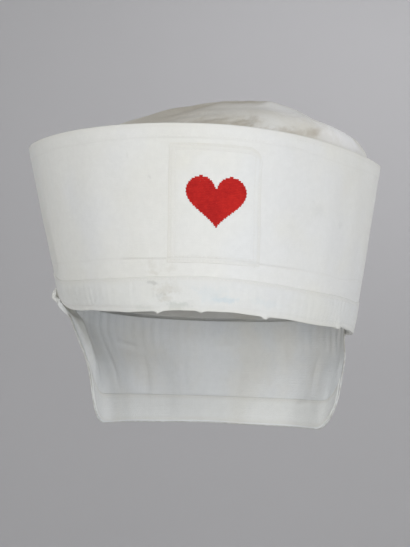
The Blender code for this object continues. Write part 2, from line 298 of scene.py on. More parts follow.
# %% The neck flap's shape
# How far below the cuff's edge, and how far outside it at the right, back and left.
FLAP_HANGS = (
    (-0.0078, -SEWN, -SEWN, -SEWN),
    (0.0040, -0.0029, -0.0029, -0.0036),
    (0.0150, -0.0023, -0.0018, -0.0085),
    (0.0260, -0.0036, -0.0030, -0.0145),
    (0.0370, -0.0052, -0.0055, -0.0178),
    (0.0490, -0.0076, -0.0090, -0.0195),
    (0.0612, -0.0105, -0.0130, -0.0210),
)
FLAP_FOLDS = (
    (24, 7, -0.0015, 0.20, 1.30),
    (44, 8, 0.0020, 0.20, 1.30),
    (66, 8, -0.0024, 0.20, 1.30),
    (88, 9, 0.0026, 0.20, 1.30),
    (112, 8, -0.0024, 0.20, 1.30),
    (134, 8, 0.0020, 0.20, 1.30),
    (154, 7, -0.0015, 0.20, 1.30),
    (176, 12, 0.0052, 0.095, 0.18),
    (176, 12, 0.0055, 0.100, 0.27),
)
FLAP_RIGHT_END, FLAP_LEFT_END = math.radians(9), math.radians(174)
FLAP_CORNER, FLAP_HEM_WIDTH = 0.0230, 0.0160
SIDE_REACH = (CUFF_LOWER_EDGE[RIGHT] + CUFF_LOWER_EDGE[LEFT]) / 2
FLAP_STACK = [widened(CUFF_LOWER_EDGE, outside, below) for below, *outside in FLAP_HANGS]


def flap_sheet(angle, share):
    """The flap before its front corners are rounded off."""
    point = ring_points(ring_along(FLAP_STACK, share), angle)
    point = point + edge_climb(angle) * level((1 - smooth(share)) ** 2)
    return point + level(fold_depth(FLAP_FOLDS, angle, share)) * outward(angle)


def path_length(points):
    """The length of a row of points."""
    return np.linalg.norm(np.diff(points, axis=0), axis=1).sum()


FLAP_LENGTH = path_length(flap_sheet(math.pi / 2, np.linspace(0, 1, 21)))


def from_flap_ends(angle):
    """How far back from its nearer front edge, in metres."""
    return np.minimum(angle - FLAP_RIGHT_END, FLAP_LEFT_END - angle) * SIDE_REACH


def from_flap_front(angle):
    """How far back from its front edge beside the right ear, in metres."""
    return (FLAP_LEFT_END - angle) * SIDE_REACH


def flap_foot(angle):
    """The share at which the flap ends: 1, but less in its rounded corners."""
    inwards = np.clip(FLAP_CORNER - from_flap_ends(angle), 0, FLAP_CORNER)
    return 1 - (FLAP_CORNER - np.sqrt(FLAP_CORNER**2 - inwards**2)) / FLAP_LENGTH


def flap_point(angle, share):
    """The flap, with its upper front corner standing out as a leaf under the cuff's edge."""
    share = share * flap_foot(angle)
    leaf = smooth((share - 0.0905) / 0.0135) * smooth((0.144 - share) / 0.054)
    leaf = 0.0066 * leaf * smooth(1 - from_flap_front(angle) / 0.009)
    return flap_sheet(angle, share) + level(leaf) * outward(angle)


print("neck flap hangs", round(FLAP_LENGTH * 1000), "mm")

# %% [markdown]
# ## Creases placed one by one
#
# Starched linen creases softly: a shallow trough with a low ridge beside it, thinning out at
# both ends, and never two the same. A table lists each crease by where its middle lies, its
# tilt from level, its length, half width, depth and how far it bows. A depth above 0 turns
# it into a ridge. Sculpting the same thing by hand would look as good, but a table can be
# read, moved and repeated on the sides that are seldom seen.

# %% Creases
def creases(table, angle, share, radius, height):
    """The relief, in metres, of creases given in degrees, shares and millimetres."""
    total = 0.0
    for middle, at, tilt, long, wide, deep, bow in table:
        across, up = turn_from(angle, middle) * radius * 1000, (share - at) * height * 1000
        cosine, sine = math.cos(math.radians(tilt)), math.sin(math.radians(tilt))
        along = (across * cosine + up * sine) / (long / 2)
        aside = (up * cosine - across * sine - bow * along**2) / wide
        trough = bell(aside) - 0.4 * bell(aside - 1.7, 1.1)
        total += deep / 1000 * trough * np.clip(1 - along**2, 0, 1) ** 1.5
    return total


def ledge(share, at, over=0.0012):
    """0 below a line on the cuff and 1 above it, over a short rise given in metres."""
    return smooth((share - at) * CUFF_HEIGHT / over + 0.5)


def furrow(share, at, half_width=0.0008):
    """1 on a sewn line on the cuff, 0 away from it."""
    return bell((share - at) * CUFF_HEIGHT, half_width)


def puckers(angle, radius, pitch):
    """Uneven little waves along a sewn line, about 1 high, with a mean pitch in metres."""
    count = round(radius * math.tau / pitch)
    strong = 0.6 * np.sin(count * angle + 1.3 * np.sin(3 * angle))
    weak = 0.4 * np.sin(round(1.37 * count) * angle + np.sin(7 * angle))
    return strong * (0.6 + 0.4 * np.sin(5 * angle + 1.0)) + weak


sample = creases([(0, 0.5, 0, 20, 2, -0.5, 0)], 0.0, 0.5, 0.1, 0.1)
print("a crease 0.5 mm deep moves the cloth", round(sample * 1000, 2), "mm at its middle")


# %% Faces
class Face:
    """A cloth's outer face: where it lies, its relief, and which way round it turns."""

    def __init__(self, point, relief, sewn=None, turn=1):
        self.point, self.relief, self.turn = point, relief, turn
        # sewn gives, from 0 to 1, how much grime and painted shade darken the cloth.
        self.sewn = sewn or (lambda a, b: 0.0 * (a + b))

    def normal(self, a, b, step=0.002):
        round_it = self.point(a + step, b) - self.point(a - step, b)
        up_it = self.point(a, b + step) - self.point(a, b - step)
        normal = np.cross(round_it, up_it) * self.turn
        return normal / np.maximum(np.linalg.norm(normal, axis=-1, keepdims=True), 1e-12)

    def at(self, a, b, out=0.0):
        """Finished points, raised off the face by a distance."""
        a, b = np.broadcast_arrays(a, b)
        return self.point(a, b) + self.normal(a, b) * level(self.relief(a, b) + out)


plain_cuff = Face(cuff_point, lambda angle, share: 0.0)
print("the cuff's front faces", plain_cuff.normal(1.5 * math.pi, 0.5).round(2).tolist())

# %% [markdown]
# ## From a face to a cloth
#
# A real edge of cloth is folded over, so it is round. Two copies of the face, one for each
# side of the cloth, are joined along their edges, and close to the edge both of them bend
# towards the middle of the wall like a quarter circle. That gives one closed shell with no
# hard rim, with the same rows and columns as its UV map, measured in metres of real cloth so
# that the weave has one scale everywhere. Solidify would be quicker, but it leaves a square
# edge and opens at creases.

# %% Rows and distances
def close_to_edges(start, end, step, start_edge=0.0, end_edge=0.0, fine=(), fine_step=0.004):
    """Even steps from start to end, closer inside each edge and in the fine stretches."""
    places = np.linspace(start + start_edge, end - end_edge, round((end - start) / step))
    for low, high in fine:
        even = places[(places < low) | (places > high)]
        close = np.linspace(low, high, round((high - low) / fine_step) + 1)
        places = np.sort(np.append(even, close))
    bunched = np.array([0.0, 0.06, 0.25, 0.55])
    first = start + bunched * start_edge if start_edge else []
    last = (end - bunched * end_edge)[::-1] if end_edge else []
    return np.concatenate([first, places, last])


def distances(points, axis):
    """How far each point lies from the first one along its row or column."""
    steps = np.linalg.norm(np.diff(points, axis=axis), axis=-1)
    return np.concatenate([np.zeros_like(np.take(steps, [0], axis)), np.cumsum(steps, axis)], axis)


def flat_cut(columns, down, along, pole):
    """The flat cloth: a strip measured along and down, or a disc measured from its middle."""
    if pole:
        reach = (down[-1] - down).mean(axis=1)[:, None]
        turn = np.append(columns, columns[0] + math.tau)
        return np.stack([reach * np.cos(turn), reach * np.sin(turn)], -1)
    middle = along[len(along) // 2]
    u = np.append(middle, 2 * middle[-1] - middle[-2])
    return np.stack(np.broadcast_arrays(u, np.concatenate([down, down[:, :1]], axis=1)), -1)


def corners(grid, left, right):
    """The four corners of each square of a grid, in order round it."""
    return np.stack([grid[:-1, left], grid[:-1, right], grid[1:, right], grid[1:, left]], 2)


print("places near an edge:", close_to_edges(0, 1, 0.25, 0.1).round(3).tolist())


# %% The cloth builder
def cloth(name, face, columns, rows, wall, material, ring=False, pole=False, lift=0.0):
    """A closed cloth: its face at every column and row, a wall behind it, round edges.

    The wall is one thickness or a function of the place. ring joins the last column to the
    first, and pole closes the last row to a point."""
    a, b = np.meshgrid(columns, rows)
    wall = wall(a, b) if callable(wall) else wall
    front, normal = face.at(a, b, lift), face.normal(a, b)
    down, along = distances(front, 0), distances(front, 1)
    edge = down if pole else np.minimum(down, down[-1:] - down)
    if not ring:
        edge = np.minimum(edge, np.minimum(along, along[:, -1:] - along))
    bend = wall / 2 * (1 - np.sqrt(1 - (1 - np.clip(edge / (wall / 2), 0, 1)) ** 2))

    # Both sides share the points of an open edge.
    on_edge = np.zeros(a.shape, bool)
    on_edge[0] = True
    on_edge[-1] = not pole
    on_edge[:, [0, -1]] |= not ring
    outer = np.arange(a.size).reshape(a.shape)
    inner = outer.copy()
    inner[~on_edge] = a.size + np.arange((~on_edge).sum())
    outside, inside = front - normal * level(bend), front - normal * level(wall - bend)
    points = np.concatenate([outside.reshape(-1, 3), inside[~on_edge]])

    left = np.arange(len(columns) - (not ring))
    right = (left + 1) % len(columns)
    flat = flat_cut(columns, down, along, pole)
    faces, places = [], []
    for index, backwards in ((outer, face.turn < 0), (inner, face.turn > 0)):
        order = slice(None, None, -1 if backwards else 1)
        faces += corners(index, left, right).reshape(-1, 4)[:, order].tolist()
        places.append(corners(flat, left, left + 1).reshape(-1, 4, 2)[:, order].reshape(-1, 2))
        if pole:
            tip = np.full(len(left), len(points))
            points = np.concatenate([points, points[index[-1]].mean(0, keepdims=True)])
            fan = np.stack([index[-1, left], index[-1, right], tip], -1)
            flat_fan = np.stack([flat[-1, left], flat[-1, left + 1], 0 * flat[-1, left]], -2)
            faces += fan[:, order].tolist()
            places.append(flat_fan[:, order].reshape(-1, 2))

    mesh = bpy.data.meshes.new(name)
    mesh.from_pydata(points.tolist(), [], faces)
    mesh.uv_layers.new(name="cloth").data.foreach_set("uv", np.concatenate(places).ravel())
    for title, value in (("edge_distance", edge), ("shade_and_grime_line", face.sewn(a, b))):
        values = np.concatenate([value.ravel(), value[~on_edge], value[-1:, 0].repeat(2 * pole)])
        made = mesh.attributes.new(title, "FLOAT", "POINT")
        made.data.foreach_set("value", values.astype(np.float32))
    mesh.materials.append(material)
    mesh.shade_smooth()
    print(f"{name}: {len(points)} points, {along.max():.3f} x {down.max():.3f} m of cloth")
    return add_object(name, mesh)


# %% [markdown]
# ## Building materials from small parts
#
# The six linens share a few effects, so each effect is a node group that is built once. Two
# small classes keep that readable. A tree adds a node in one short call and gives back its
# outputs, and a group is a tree with named inputs and outputs.

# %% Node helpers
class Tree:
    """A node tree, written in short calls that each add a node."""

    def __init__(self, tree):
        self.tree = tree

    def fill(self, sockets, values):
        """Gives sockets their values, or links them to other nodes' outputs."""
        for key, value in values.items():
            if isinstance(value, bpy.types.NodeSocket):
                self.tree.links.new(value, sockets[key])
            else:
                sockets[key].default_value = value

    def node(self, kind, inputs=None, **settings):
        made = self.tree.nodes.new(kind)
        for name, value in settings.items():
            setattr(made, name, value)
        self.fill(made.inputs, inputs or {})
        return made.outputs

    def math(self, operation, *values, **settings):
        inputs = dict(enumerate(values))
        return self.node("ShaderNodeMath", inputs, operation=operation, **settings)[0]

    def vector(self, operation, *values, output=0):
        inputs = dict(enumerate(values))
        return self.node("ShaderNodeVectorMath", inputs, operation=operation)[output]

    def mixed(self, factor, first, second, blend="MIX"):
        """Two colours mixed."""
        inputs = {0: factor, 6: first, 7: second}
        return self.node("ShaderNodeMix", inputs, data_type="RGBA", blend_type=blend)[2]

    def shaded(self, tone, amount):
        """A colour multiplied by a grey."""
        grey = self.node("ShaderNodeCombineColor", {0: amount, 1: amount, 2: amount})[0]
        return self.mixed(1.0, tone, grey, "MULTIPLY")

    def between(self, value, low, high, to_low=0.0, to_high=1.0):
        """A value's place between two others, eased at both ends."""
        inputs = dict(enumerate((value, low, high, to_low, to_high)))
        return self.node("ShaderNodeMapRange", inputs, interpolation_type="SMOOTHSTEP")[0]

    def noise(self, vector, scale, detail, roughness=0.55, distortion=0.0, **settings):
        inputs = {"Vector": vector, "Scale": scale, "Detail": detail, "Roughness": roughness}
        return self.node("ShaderNodeTexNoise", inputs | {"Distortion": distortion}, **settings)[0]

    def use(self, group, **inputs):
        """Places a group, and gives back its outputs."""
        return self.node("ShaderNodeGroup", inputs, node_tree=group.tree)


print("helpers:", ", ".join(name for name in vars(Tree) if name[0] != "_"))


# %% Groups and materials
class Group(Tree):
    """A node group. Its inputs come as name, kind and value, and its outputs are given last."""

    def __init__(self, name, *inputs, kind="ShaderNodeTree"):
        super().__init__(bpy.data.node_groups.new(name, kind))
        for title, socket_kind, *value in inputs:
            made = self.tree.interface.new_socket(
                title, in_out="INPUT", socket_type="NodeSocket" + socket_kind
            )
            if value:
                made.default_value = value[0]
        self.given = self.tree.nodes.new("NodeGroupInput").outputs

    def give(self, **outputs):
        for title, value in outputs.items():
            self.tree.interface.new_socket(title, in_out="OUTPUT", socket_type=value.bl_idname)
        self.fill(self.tree.nodes.new("NodeGroupOutput").inputs, outputs)
        print(self.tree.name, "has", len(self.tree.nodes), "nodes")


def new_material(name):
    """A material, its tree, and the inputs of its Principled shader."""
    material = bpy.data.materials.new(name)
    material.use_nodes = True
    shader = material.node_tree.nodes["Principled BSDF"]
    return material, Tree(material.node_tree), shader.inputs


print("a group shows what it was given and what it gives")

# %% [markdown]
# ## Plain weave with slubs
#
# Linen is a plain weave: each thread goes over one crossing thread and under the next. On a
# UV map in metres, the sine of the distance times the thread count draws one thread for each
# half wave, and the product of both sines says which thread is on top. Flax is spun unevenly,
# so long thin noise thickens some threads for a stretch. These slubs are what the eye sees
# from a distance, when the threads themselves are too fine.

# %% Weave group
weave = Group(
    "plain_weave",
    ("Vector", "Vector"),
    ("Threads", "Float", 2100.0),
    ("Relief", "Float", 0.00005),
    ("Slubs", "Float", 0.5),
)
counting = {0: weave.given["Vector"], 3: weave.given["Threads"]}
counted = weave.node("ShaderNodeVectorMath", counting, operation="SCALE")[0]
slubs = []
for stretch in ((0.018, 0.55, 1.0), (0.55, 0.018, 1.0)):
    stretched = weave.vector("MULTIPLY", counted, stretch)
    long_noise = weave.noise(stretched, 1.0, 2.0, 0.6, noise_dimensions="2D")
    slubs.append(weave.between(long_noise, 0.5, 0.78))
parts = weave.node("ShaderNodeSeparateXYZ", {0: counted})
waves = []
for axis, thickened in ((0, slubs[1]), (1, slubs[0])):
    turn = weave.math("MULTIPLY", parts[axis], math.pi)
    waves.append(weave.math("SINE", weave.math("ADD", turn, thickened)))
crossing = weave.math("MULTIPLY", *waves)
on_top = weave.math("MULTIPLY_ADD", crossing, 3.0, 0.5, use_clamp=True)
crests = {0: on_top, 2: weave.math("ABSOLUTE", waves[1]), 3: weave.math("ABSOLUTE", waves[0])}
woven = weave.node("ShaderNodeMix", crests, data_type="FLOAT")[0]
slub = weave.math("MULTIPLY", weave.math("MAXIMUM", *slubs), weave.given["Slubs"])
weave.give(
    Height=weave.math("MULTIPLY", weave.math("ADD", woven, slub), weave.given["Relief"]),
    Shade=weave.math("MULTIPLY_ADD", woven, 0.07, 0.93),
    Slub=slub,
)

# %% [markdown]
# ## Age: uneven white, crumple and spots
#
# Old washed linen is never one white. Some of it has yellowed, some has kept the blue of the
# rinse, and it lies in a faint crumple that starch has fixed. One group mixes three whites
# with large and small noise and gives a crumple height. Another makes one ragged spot at a
# place on the cloth, for the listed marks.

# %% Age and spot groups
age = Group(
    "aged_white",
    ("Vector", "Vector"),
    ("White", "Color"),
    ("Yellowed", "Color"),
    ("Blued", "Color"),
    ("Crumple", "Float", 0.0002),
)
place = age.given["Vector"]
shifted = age.vector("ADD", place, (0.31, 0.17, 0.53))
warm = age.between(age.noise(shifted, 17.0, 4.0), 0.44, 0.68)
cool = age.between(age.noise(place, 13.0, 3.0), 0.46, 0.66)
dust = age.noise(place, 260.0, 5.0, 0.7)
tone = age.mixed(warm, age.given["White"], age.given["Yellowed"])
tone = age.mixed(age.math("MULTIPLY", cool, 0.8), tone, age.given["Blued"])
fine = age.noise(place, 75.0, 3.0, 0.5, 0.4)
broad = age.noise(place, 28.0, 2.0, 0.5, 0.6)
crumple = age.math("MULTIPLY_ADD", fine, 0.35, broad)
age.give(
    Color=age.shaded(tone, age.between(dust, 0.3, 0.7, 0.965, 1.0)),
    Height=age.math("MULTIPLY", crumple, age.given["Crumple"]),
    Dust=dust,
)

spot = Group(
    "ragged_spot",
    ("Vector", "Vector"),
    ("Place", "Vector"),
    ("Reach", "Vector", (0.01, 0.01, 1.0)),
    ("Ragged", "Float", 0.8),
    ("Grain", "Float", 220.0),
)
from_place = spot.vector("SUBTRACT", spot.given["Vector"], spot.given["Place"])
reach = spot.vector("LENGTH", spot.vector("DIVIDE", from_place, spot.given["Reach"]), output=1)
grain = spot.noise(spot.given["Vector"], spot.given["Grain"], 5.0, 0.65)
rough = spot.math("MULTIPLY", spot.math("SUBTRACT", grain, 0.5), spot.given["Ragged"])
spot.give(Mask=spot.between(spot.math("MULTIPLY_ADD", rough, 3.0, reach), 1.1, 0.2))

# %% [markdown]
# ## Linen
#
# Each piece gets the same recipe with its own values: the whites of that piece, how crumpled
# it is, its spots, and how much its edges have greyed. The Principled shader stays in the
# material itself, quite rough, with a little sheen for the fibres that stand off the surface.

# %% Linen materials
EDGE_GREY, EDGE_REACH = (0.70, 0.69, 0.63, 1), 0.004
# The colour of grime along seams, which also paints the shade held by sewn lines, ledges and rims.
SEAM_GRIME_AND_SHADE = (0.36, 0.35, 0.31, 1)


def linen(name, white, yellowed, blued, crumple, relief=0.00005, threads=2100.0, slubs=0.5,
          edge_amount=0.35, where=None, spots=()):
    """A woven white cloth with spots.

    Each spot: angle, share, reach along and down in millimetres, colour, amount, ragged.
    where turns an angle and a share into a place on the UV map."""
    material, tree, shader = new_material(name)
    uv = tree.node("ShaderNodeUVMap", uv_map="cloth")[0]
    place = tree.node("ShaderNodeTexCoord")["Object"]
    woven = tree.use(weave, Vector=uv, Threads=threads, Relief=relief, Slubs=slubs)
    aged = tree.use(
        age, Vector=place, White=white, Yellowed=yellowed, Blued=blued, Crumple=crumple
    )
    tone = aged["Color"]
    for degrees, share, along, down, colour, amount, ragged in spots:
        at, reach = (*where(degrees, share), 0), (along / 1000, down / 1000, 1.0)
        mask = tree.use(spot, Vector=uv, Place=at, Reach=reach, Ragged=ragged)["Mask"]
        tone = tree.mixed(tree.math("MULTIPLY", mask, amount), tone, colour)
    edge = tree.node("ShaderNodeAttribute", attribute_name="edge_distance")["Fac"]
    worn = tree.between(edge, EDGE_REACH, 0.0, 0.0, edge_amount)
    worn = tree.math("MULTIPLY", worn, tree.between(aged["Dust"], 0.35, 0.65, 0.5, 1.0))
    tone = tree.mixed(worn, tone, EDGE_GREY)
    # Grime and painted shade: darker along seams, ledges and rims, and where the crown meets the
    # cuff's rim.
    sewn = tree.node("ShaderNodeAttribute", attribute_name="shade_and_grime_line")["Fac"]
    grime_shade_mix = tree.math("MULTIPLY", sewn, tree.between(aged["Dust"], 0.3, 0.7, 0.12, 0.30))
    tone = tree.shaded(tree.mixed(grime_shade_mix, tone, SEAM_GRIME_AND_SHADE), woven["Shade"])
    height = tree.math("ADD", woven["Height"], aged["Height"])
    tree.fill(shader, {
        "Base Color": tone,
        "Roughness": tree.between(woven["Slub"], 0.0, 1.0, 0.86, 0.78),
        "Normal": tree.node("ShaderNodeBump", {"Distance": 1.0, "Height": height})[0],
        "Sheen Weight": 0.12,
        "Sheen Roughness": 0.5,
        "Specular IOR Level": 0.3,
    })
    return material


def cuff_uv(degrees, share, measured_at=0.5):
    """Where a place on the cuff lies on its UV map, which starts at the back."""
    angles = np.radians(np.arange(90, degrees + (360 if degrees < 90 else 0), 0.5))
    return path_length(cuff_point(angles, measured_at)), share * CUFF_HEIGHT


def band_uv(degrees, share):
    """The same for the band, which is measured round its own middle."""
    return cuff_uv(degrees, share, measured_at=0.09)


# %% Starched linens
BROWN, GREY, BLUE = (0.52, 0.49, 0.41, 1), (0.50, 0.51, 0.49, 1), (0.62, 0.70, 0.74, 1)
GREEN = (0.52, 0.56, 0.525, 1)
CUFF_SPOTS = (
    (251.8, 0.693, 1.6, 1.4, GREY, 0.25, 0.5),
    (245.2, 0.807, 0.9, 2.2, GREY, 0.14, 0.5),
    (250.6, 0.245, 4.2, 3.8, BROWN, 0.17, 1.2),
    (251.2, 0.205, 5.5, 1.6, BROWN, 0.26, 0.9),
    (258.0, 0.215, 4, 2, BROWN, 0.16, 1.2),
    (306.0, 0.600, 9, 5, GREY, 0.10, 1.2),
    (318.0, 0.560, 4, 3, GREY, 0.12, 1.0),
    (60.0, 0.500, 8, 6, BROWN, 0.16, 1.2),
    (124.0, 0.300, 10, 5, BROWN, 0.18, 1.2),
    (20.0, 0.720, 3, 3, GREY, 0.22, 0.8),
)
BAND_SPOTS = (
    (218.0, 0.090, 30, 9, GREY, 0.22, 0.4),
    (257.5, 0.110, 5.8, 4, BROWN, 0.26, 1.4),
    (252.2, 0.152, 4.5, 1.2, GREY, 0.55, 0.9),
    (261.0, 0.115, 4.6, 3, BROWN, 0.12, 1.4),
    (257.2, 0.068, 5, 2.2, BROWN, 0.26, 1.2),
    (261.0, 0.028, 8, 2.7, GREEN, 0.46, 1.1),
    (249.0, 0.020, 8.5, 1.8, GREEN, 0.30, 0.9),
    (255.5, 0.082, 4, 2, GREY, 0.34, 1.2),
    (277.5, 0.064, 8, 2.2, BLUE, 0.60, 0.7),
    (273.0, 0.085, 11, 6, BLUE, 0.28, 0.9),
    (291.0, 0.075, 10, 3, BLUE, 0.22, 0.8),
    (35.0, 0.080, 8, 5, BROWN, 0.30, 1.2),
    (110.0, 0.060, 10, 4, BLUE, 0.30, 1.0),
)
cuff_linen = linen(
    "starched_cuff_linen",
    (0.81, 0.818, 0.795, 1),
    (0.795, 0.80, 0.765, 1),
    (0.795, 0.81, 0.815, 1),
    0.00022,
    where=cuff_uv,
    spots=CUFF_SPOTS,
)
band_linen = linen(
    "starched_band_linen",
    (0.775, 0.79, 0.78, 1),
    (0.765, 0.775, 0.745, 1),
    (0.755, 0.775, 0.785, 1),
    0.00030,
    where=band_uv,
    spots=BAND_SPOTS,
)
patch_linen = linen(
    "patch_linen",
    (0.81, 0.82, 0.80, 1),
    (0.80, 0.80, 0.75, 1),
    (0.79, 0.81, 0.82, 1),
    0.00012,
    threads=2500.0,
    slubs=0.35,
)
print("starched linens:", cuff_linen.name, band_linen.name, patch_linen.name)

# %% [markdown]
# ## The cuff
#
# The cuff is two layers of linen boiled in starch and ironed, so it stands like card. Its
# top is turned over 8 mm and stitched, a facing inside shows as a faint line about 30 mm
# above the lower edge, and behind the head its two ends are lapped and sewn together. The
# relief adds those steps, puckers along the seams, slow waves from top to bottom, and the
# creases that handling has left on every side.

# %% The cuff's sewn lines
CUFF_RADIUS, SEAM_START = 0.103, math.pi / 2
TOP_HEM, FACING_LINE, BAND_TOP = 0.917, 0.295, 0.184
# Rows of sewing: above the top hem's line, below the facing's and below the band's top.
HEM_ROW, FACING_ROW, BAND_ROW = 0.012, 0.011, 0.013


def stitched_line(angle, share, at, pitch, deep):
    """A sewn line: a fine furrow whose banks pucker unevenly."""
    banks = bell((share - at) * CUFF_HEIGHT, 0.0032) * puckers(angle, CUFF_RADIUS, pitch)
    return 0.00007 * banks - deep * furrow(share, at)


def facing_at(angle):
    """The facing's line, which wanders a little and dips to the wearer's left."""
    wander = 0.0015 * np.sin(11 * angle)
    return FACING_LINE + wander - 0.014 * hump(angle, 300, 18) - 0.024 * hump(angle, 326, 12)


def top_hem_at(angle):
    return TOP_HEM + 0.003 * np.sin(3 * angle + 0.5) - 0.015 * hump(angle, 316, 14)


def band_top_at(angle):
    return BAND_TOP + humps(((266, 22, 0.011), (312, 18, -0.012), (340, 16, -0.022)), angle)


def facing_shows(angle):
    """The facing presses through most beside the patch, and hardly beside the ears."""
    begins = smooth(turn_from(angle, 240.5) / math.radians(2) + 0.5)
    ends = smooth(turn_from(angle, 299) / math.radians(-16) + 0.5)
    return 0.25 + 0.75 * begins * ends * (np.sin(angle) < 0) + 0.5 * hump(angle, 90, 60)


print("band's top in front:", round(band_top_at(1.5 * math.pi) * CUFF_HEIGHT * 1000, 1), "mm up")

# %% The cuff's relief
# Creases: angle, share, tilt, length, half width, depth, bow; the last four in millimetres.
CUFF_CREASES = (
    (238, 0.62, 84, 52, 6.0, -0.30, 3.0),
    (226, 0.55, 80, 70, 9.0, 0.35, -4.0),
    (247, 0.47, 12, 24, 3.0, -0.10, 1.5),
    (252, 0.33, 96, 14, 2.2, -0.12, 0.8),
    (236, 0.24, 4, 30, 2.0, -0.14, 1.0),
    (222, 0.40, 18, 26, 3.2, -0.14, 2.0),
    (293, 0.74, 78, 30, 4.0, -0.12, 1.5),
    (299, 0.50, 96, 46, 7.0, -0.22, -2.0),
    (306, 0.62, 10, 22, 2.4, -0.10, 1.2),
    (312, 0.40, 86, 40, 6.5, 0.22, 3.0),
    (317, 0.35, -8, 20, 2.0, -0.12, 1.0),
    (327, 0.66, 92, 50, 8.0, 0.30, 3.5),
    (322, 0.24, 5, 16, 1.8, -0.12, 0.6),
    (336, 0.45, 82, 44, 6.0, -0.25, -2.5),
    (349, 0.55, 98, 48, 7.0, 0.36, 2.0),
    (6, 0.42, 84, 50, 5.5, -0.50, 3.0),
    (17, 0.70, 30, 26, 3.0, -0.20, 2.0),
    (28, 0.52, 92, 60, 7.5, 0.46, -3.0),
    (43, 0.35, 12, 30, 2.6, -0.20, 1.6),
    (55, 0.62, 80, 48, 5.5, -0.46, 2.4),
    (71, 0.48, 95, 56, 8.0, 0.42, 3.0),
    (84, 0.66, -14, 24, 2.6, -0.18, 1.2),
    (102, 0.52, 86, 54, 6.0, -0.46, -3.0),
    (116, 0.30, 8, 32, 2.6, -0.20, 1.8),
    (127, 0.60, 94, 50, 6.5, 0.42, 2.0),
    (143, 0.50, 80, 44, 4.6, -0.48, 2.2),
    (158, 0.66, 24, 24, 3.0, -0.18, 1.4),
    (170, 0.48, 92, 58, 7.0, 0.46, -3.0),
    (187, 0.56, 84, 50, 5.5, -0.46, 2.6),
    (203, 0.40, 96, 46, 6.5, 0.38, 3.0),
    (211, 0.66, -20, 22, 3.0, -0.16, 1.0),
)


def slow_waves(angle, share):
    """The unevenness of hand ironing: under half a millimetre, from top to bottom."""
    lean = 0.5 * (share - 0.5)
    broad, fine = np.sin(9 * angle + 1.7 + lean), np.sin(23 * angle + 2.2 + 3 * lean)
    return 0.00016 * (broad + 0.8 * np.sin(14 * angle + 0.4 - 2 * lean) + 0.5 * fine)


def cuff_relief(angle, share):
    hem, facing = top_hem_at(angle), facing_at(angle)
    relief = slow_waves(angle, share) * smooth(share / 0.1) * smooth((1 - share) / 0.04)
    relief += creases(CUFF_CREASES, angle, share, CUFF_RADIUS, CUFF_HEIGHT)
    relief += 0.00012 * ledge(share, hem)
    relief += stitched_line(angle, share, hem + HEM_ROW, 0.0075, 0.00005)
    pressed = stitched_line(angle, share, facing - FACING_ROW, 0.0062, 0.00020)
    pressed += 0.00018 * (1 - ledge(share, facing))
    # The lapped seam at the middle of the back.
    from_seam = turn_from(angle, 90) * CUFF_RADIUS
    lap = 0.00045 * smooth(from_seam / 0.0012 + 0.5) * smooth((0.011 - from_seam) / 0.004)
    lap = lap - 0.00012 * bell(from_seam - 0.0015, 0.0008)
    # The edge rolls in, most beside the right ear, where it first stands out.
    rolled = 0.0018 * hump(angle, 220, 18) + 0.0008 * hump(angle, 325, 30) + 0.0003
    rolled = rolled * np.clip(1 - share / 0.13, 0, 1) ** 2
    proud = 0.0016 * hump(angle, 195, 12) * np.clip(1 - share / 0.24, 0, 1)
    return relief + pressed * facing_shows(angle) + lap + proud - rolled - 0.0005


def cuff_grime_and_shade(angle, share):
    """Where sewing has gathered grime and where sewn lines hold painted shade, from 0 to 1."""
    facing = furrow(share, facing_at(angle) - 0.004, 0.00045) * facing_shows(angle)
    hem = furrow(share, top_hem_at(angle) + 0.004, 0.00045) * (0.2 + 0.4 * hump(angle, 262, 10))
    above_band = furrow(share, band_top_at(angle) + 0.013, 0.00045) * hump(angle, 316, 12)
    back_seam = bell(turn_from(angle, 90) * CUFF_RADIUS, 0.0008)
    return np.clip(facing + hem + 0.6 * above_band + back_seam, 0, 1)


print("cuff's creases:", len(CUFF_CREASES))

# %% The cuff
PATCH_MIDDLE, PATCH_WIDTH = 0.0026, 0.0480
PATCH_FOOT, PATCH_HEAD = 0.0268, 0.0904
PATCH_HEIGHT = PATCH_HEAD - PATCH_FOOT
CUFF_WALL, CUFF_FLARE = 0.0017, 0.018


def pressed_in(angle, share):
    """How far starch and ironing have pressed the patch and the band into the cuff."""
    reach = np.where(np.cos(angle) > 0, CUFF_LOWER_EDGE[RIGHT], CUFF_LOWER_EDGE[LEFT])
    aside = PATCH_WIDTH / 2 - np.abs(np.cos(angle) * (reach + share * CUFF_FLARE) - PATCH_MIDDLE)
    above = np.minimum(share * CUFF_HEIGHT - PATCH_FOOT, PATCH_HEAD - share * CUFF_HEIGHT)
    under_patch = np.where(np.sin(angle) < 0, np.minimum(aside, above), -1.0)
    under_band = (band_top_at(angle) - share) * CUFF_HEIGHT
    return 0.0003 * smooth(under_patch / 0.002) + 0.0002 * smooth(under_band / 0.002)


def round_the_head(count):
    """Even angles all the way round, from the seam at the back."""
    return SEAM_START + np.arange(count) / count * math.tau


cuff_face = Face(cuff_point, lambda a, b: cuff_relief(a, b) - pressed_in(a, b), cuff_grime_and_shade)
cuff_cloth = cloth(
    "cuff_cloth",
    cuff_face,
    round_the_head(440),
    close_to_edges(0, 1, 1 / 66, 0.013, 0.013, fine=((0.255, 0.305), (0.895, 0.945))),
    CUFF_WALL,
    cuff_linen,
    ring=True,
)

# %% [markdown]
# ## The band along the lower edge
#
# A separate strip is folded over the cuff's lower edge and stitched near its top, where
# sweat and powder wear it most. It is thinner than the cuff, so its top edge is a fine
# ledge. The double thickness puckers between its two rows of sewing, and the fold at the
# bottom is worn into small lumps. The band follows the cuff's own relief and adds to it, so
# the two can never cut through each other.

# %% The band's relief
BAND_EDGE_ROW = 0.030
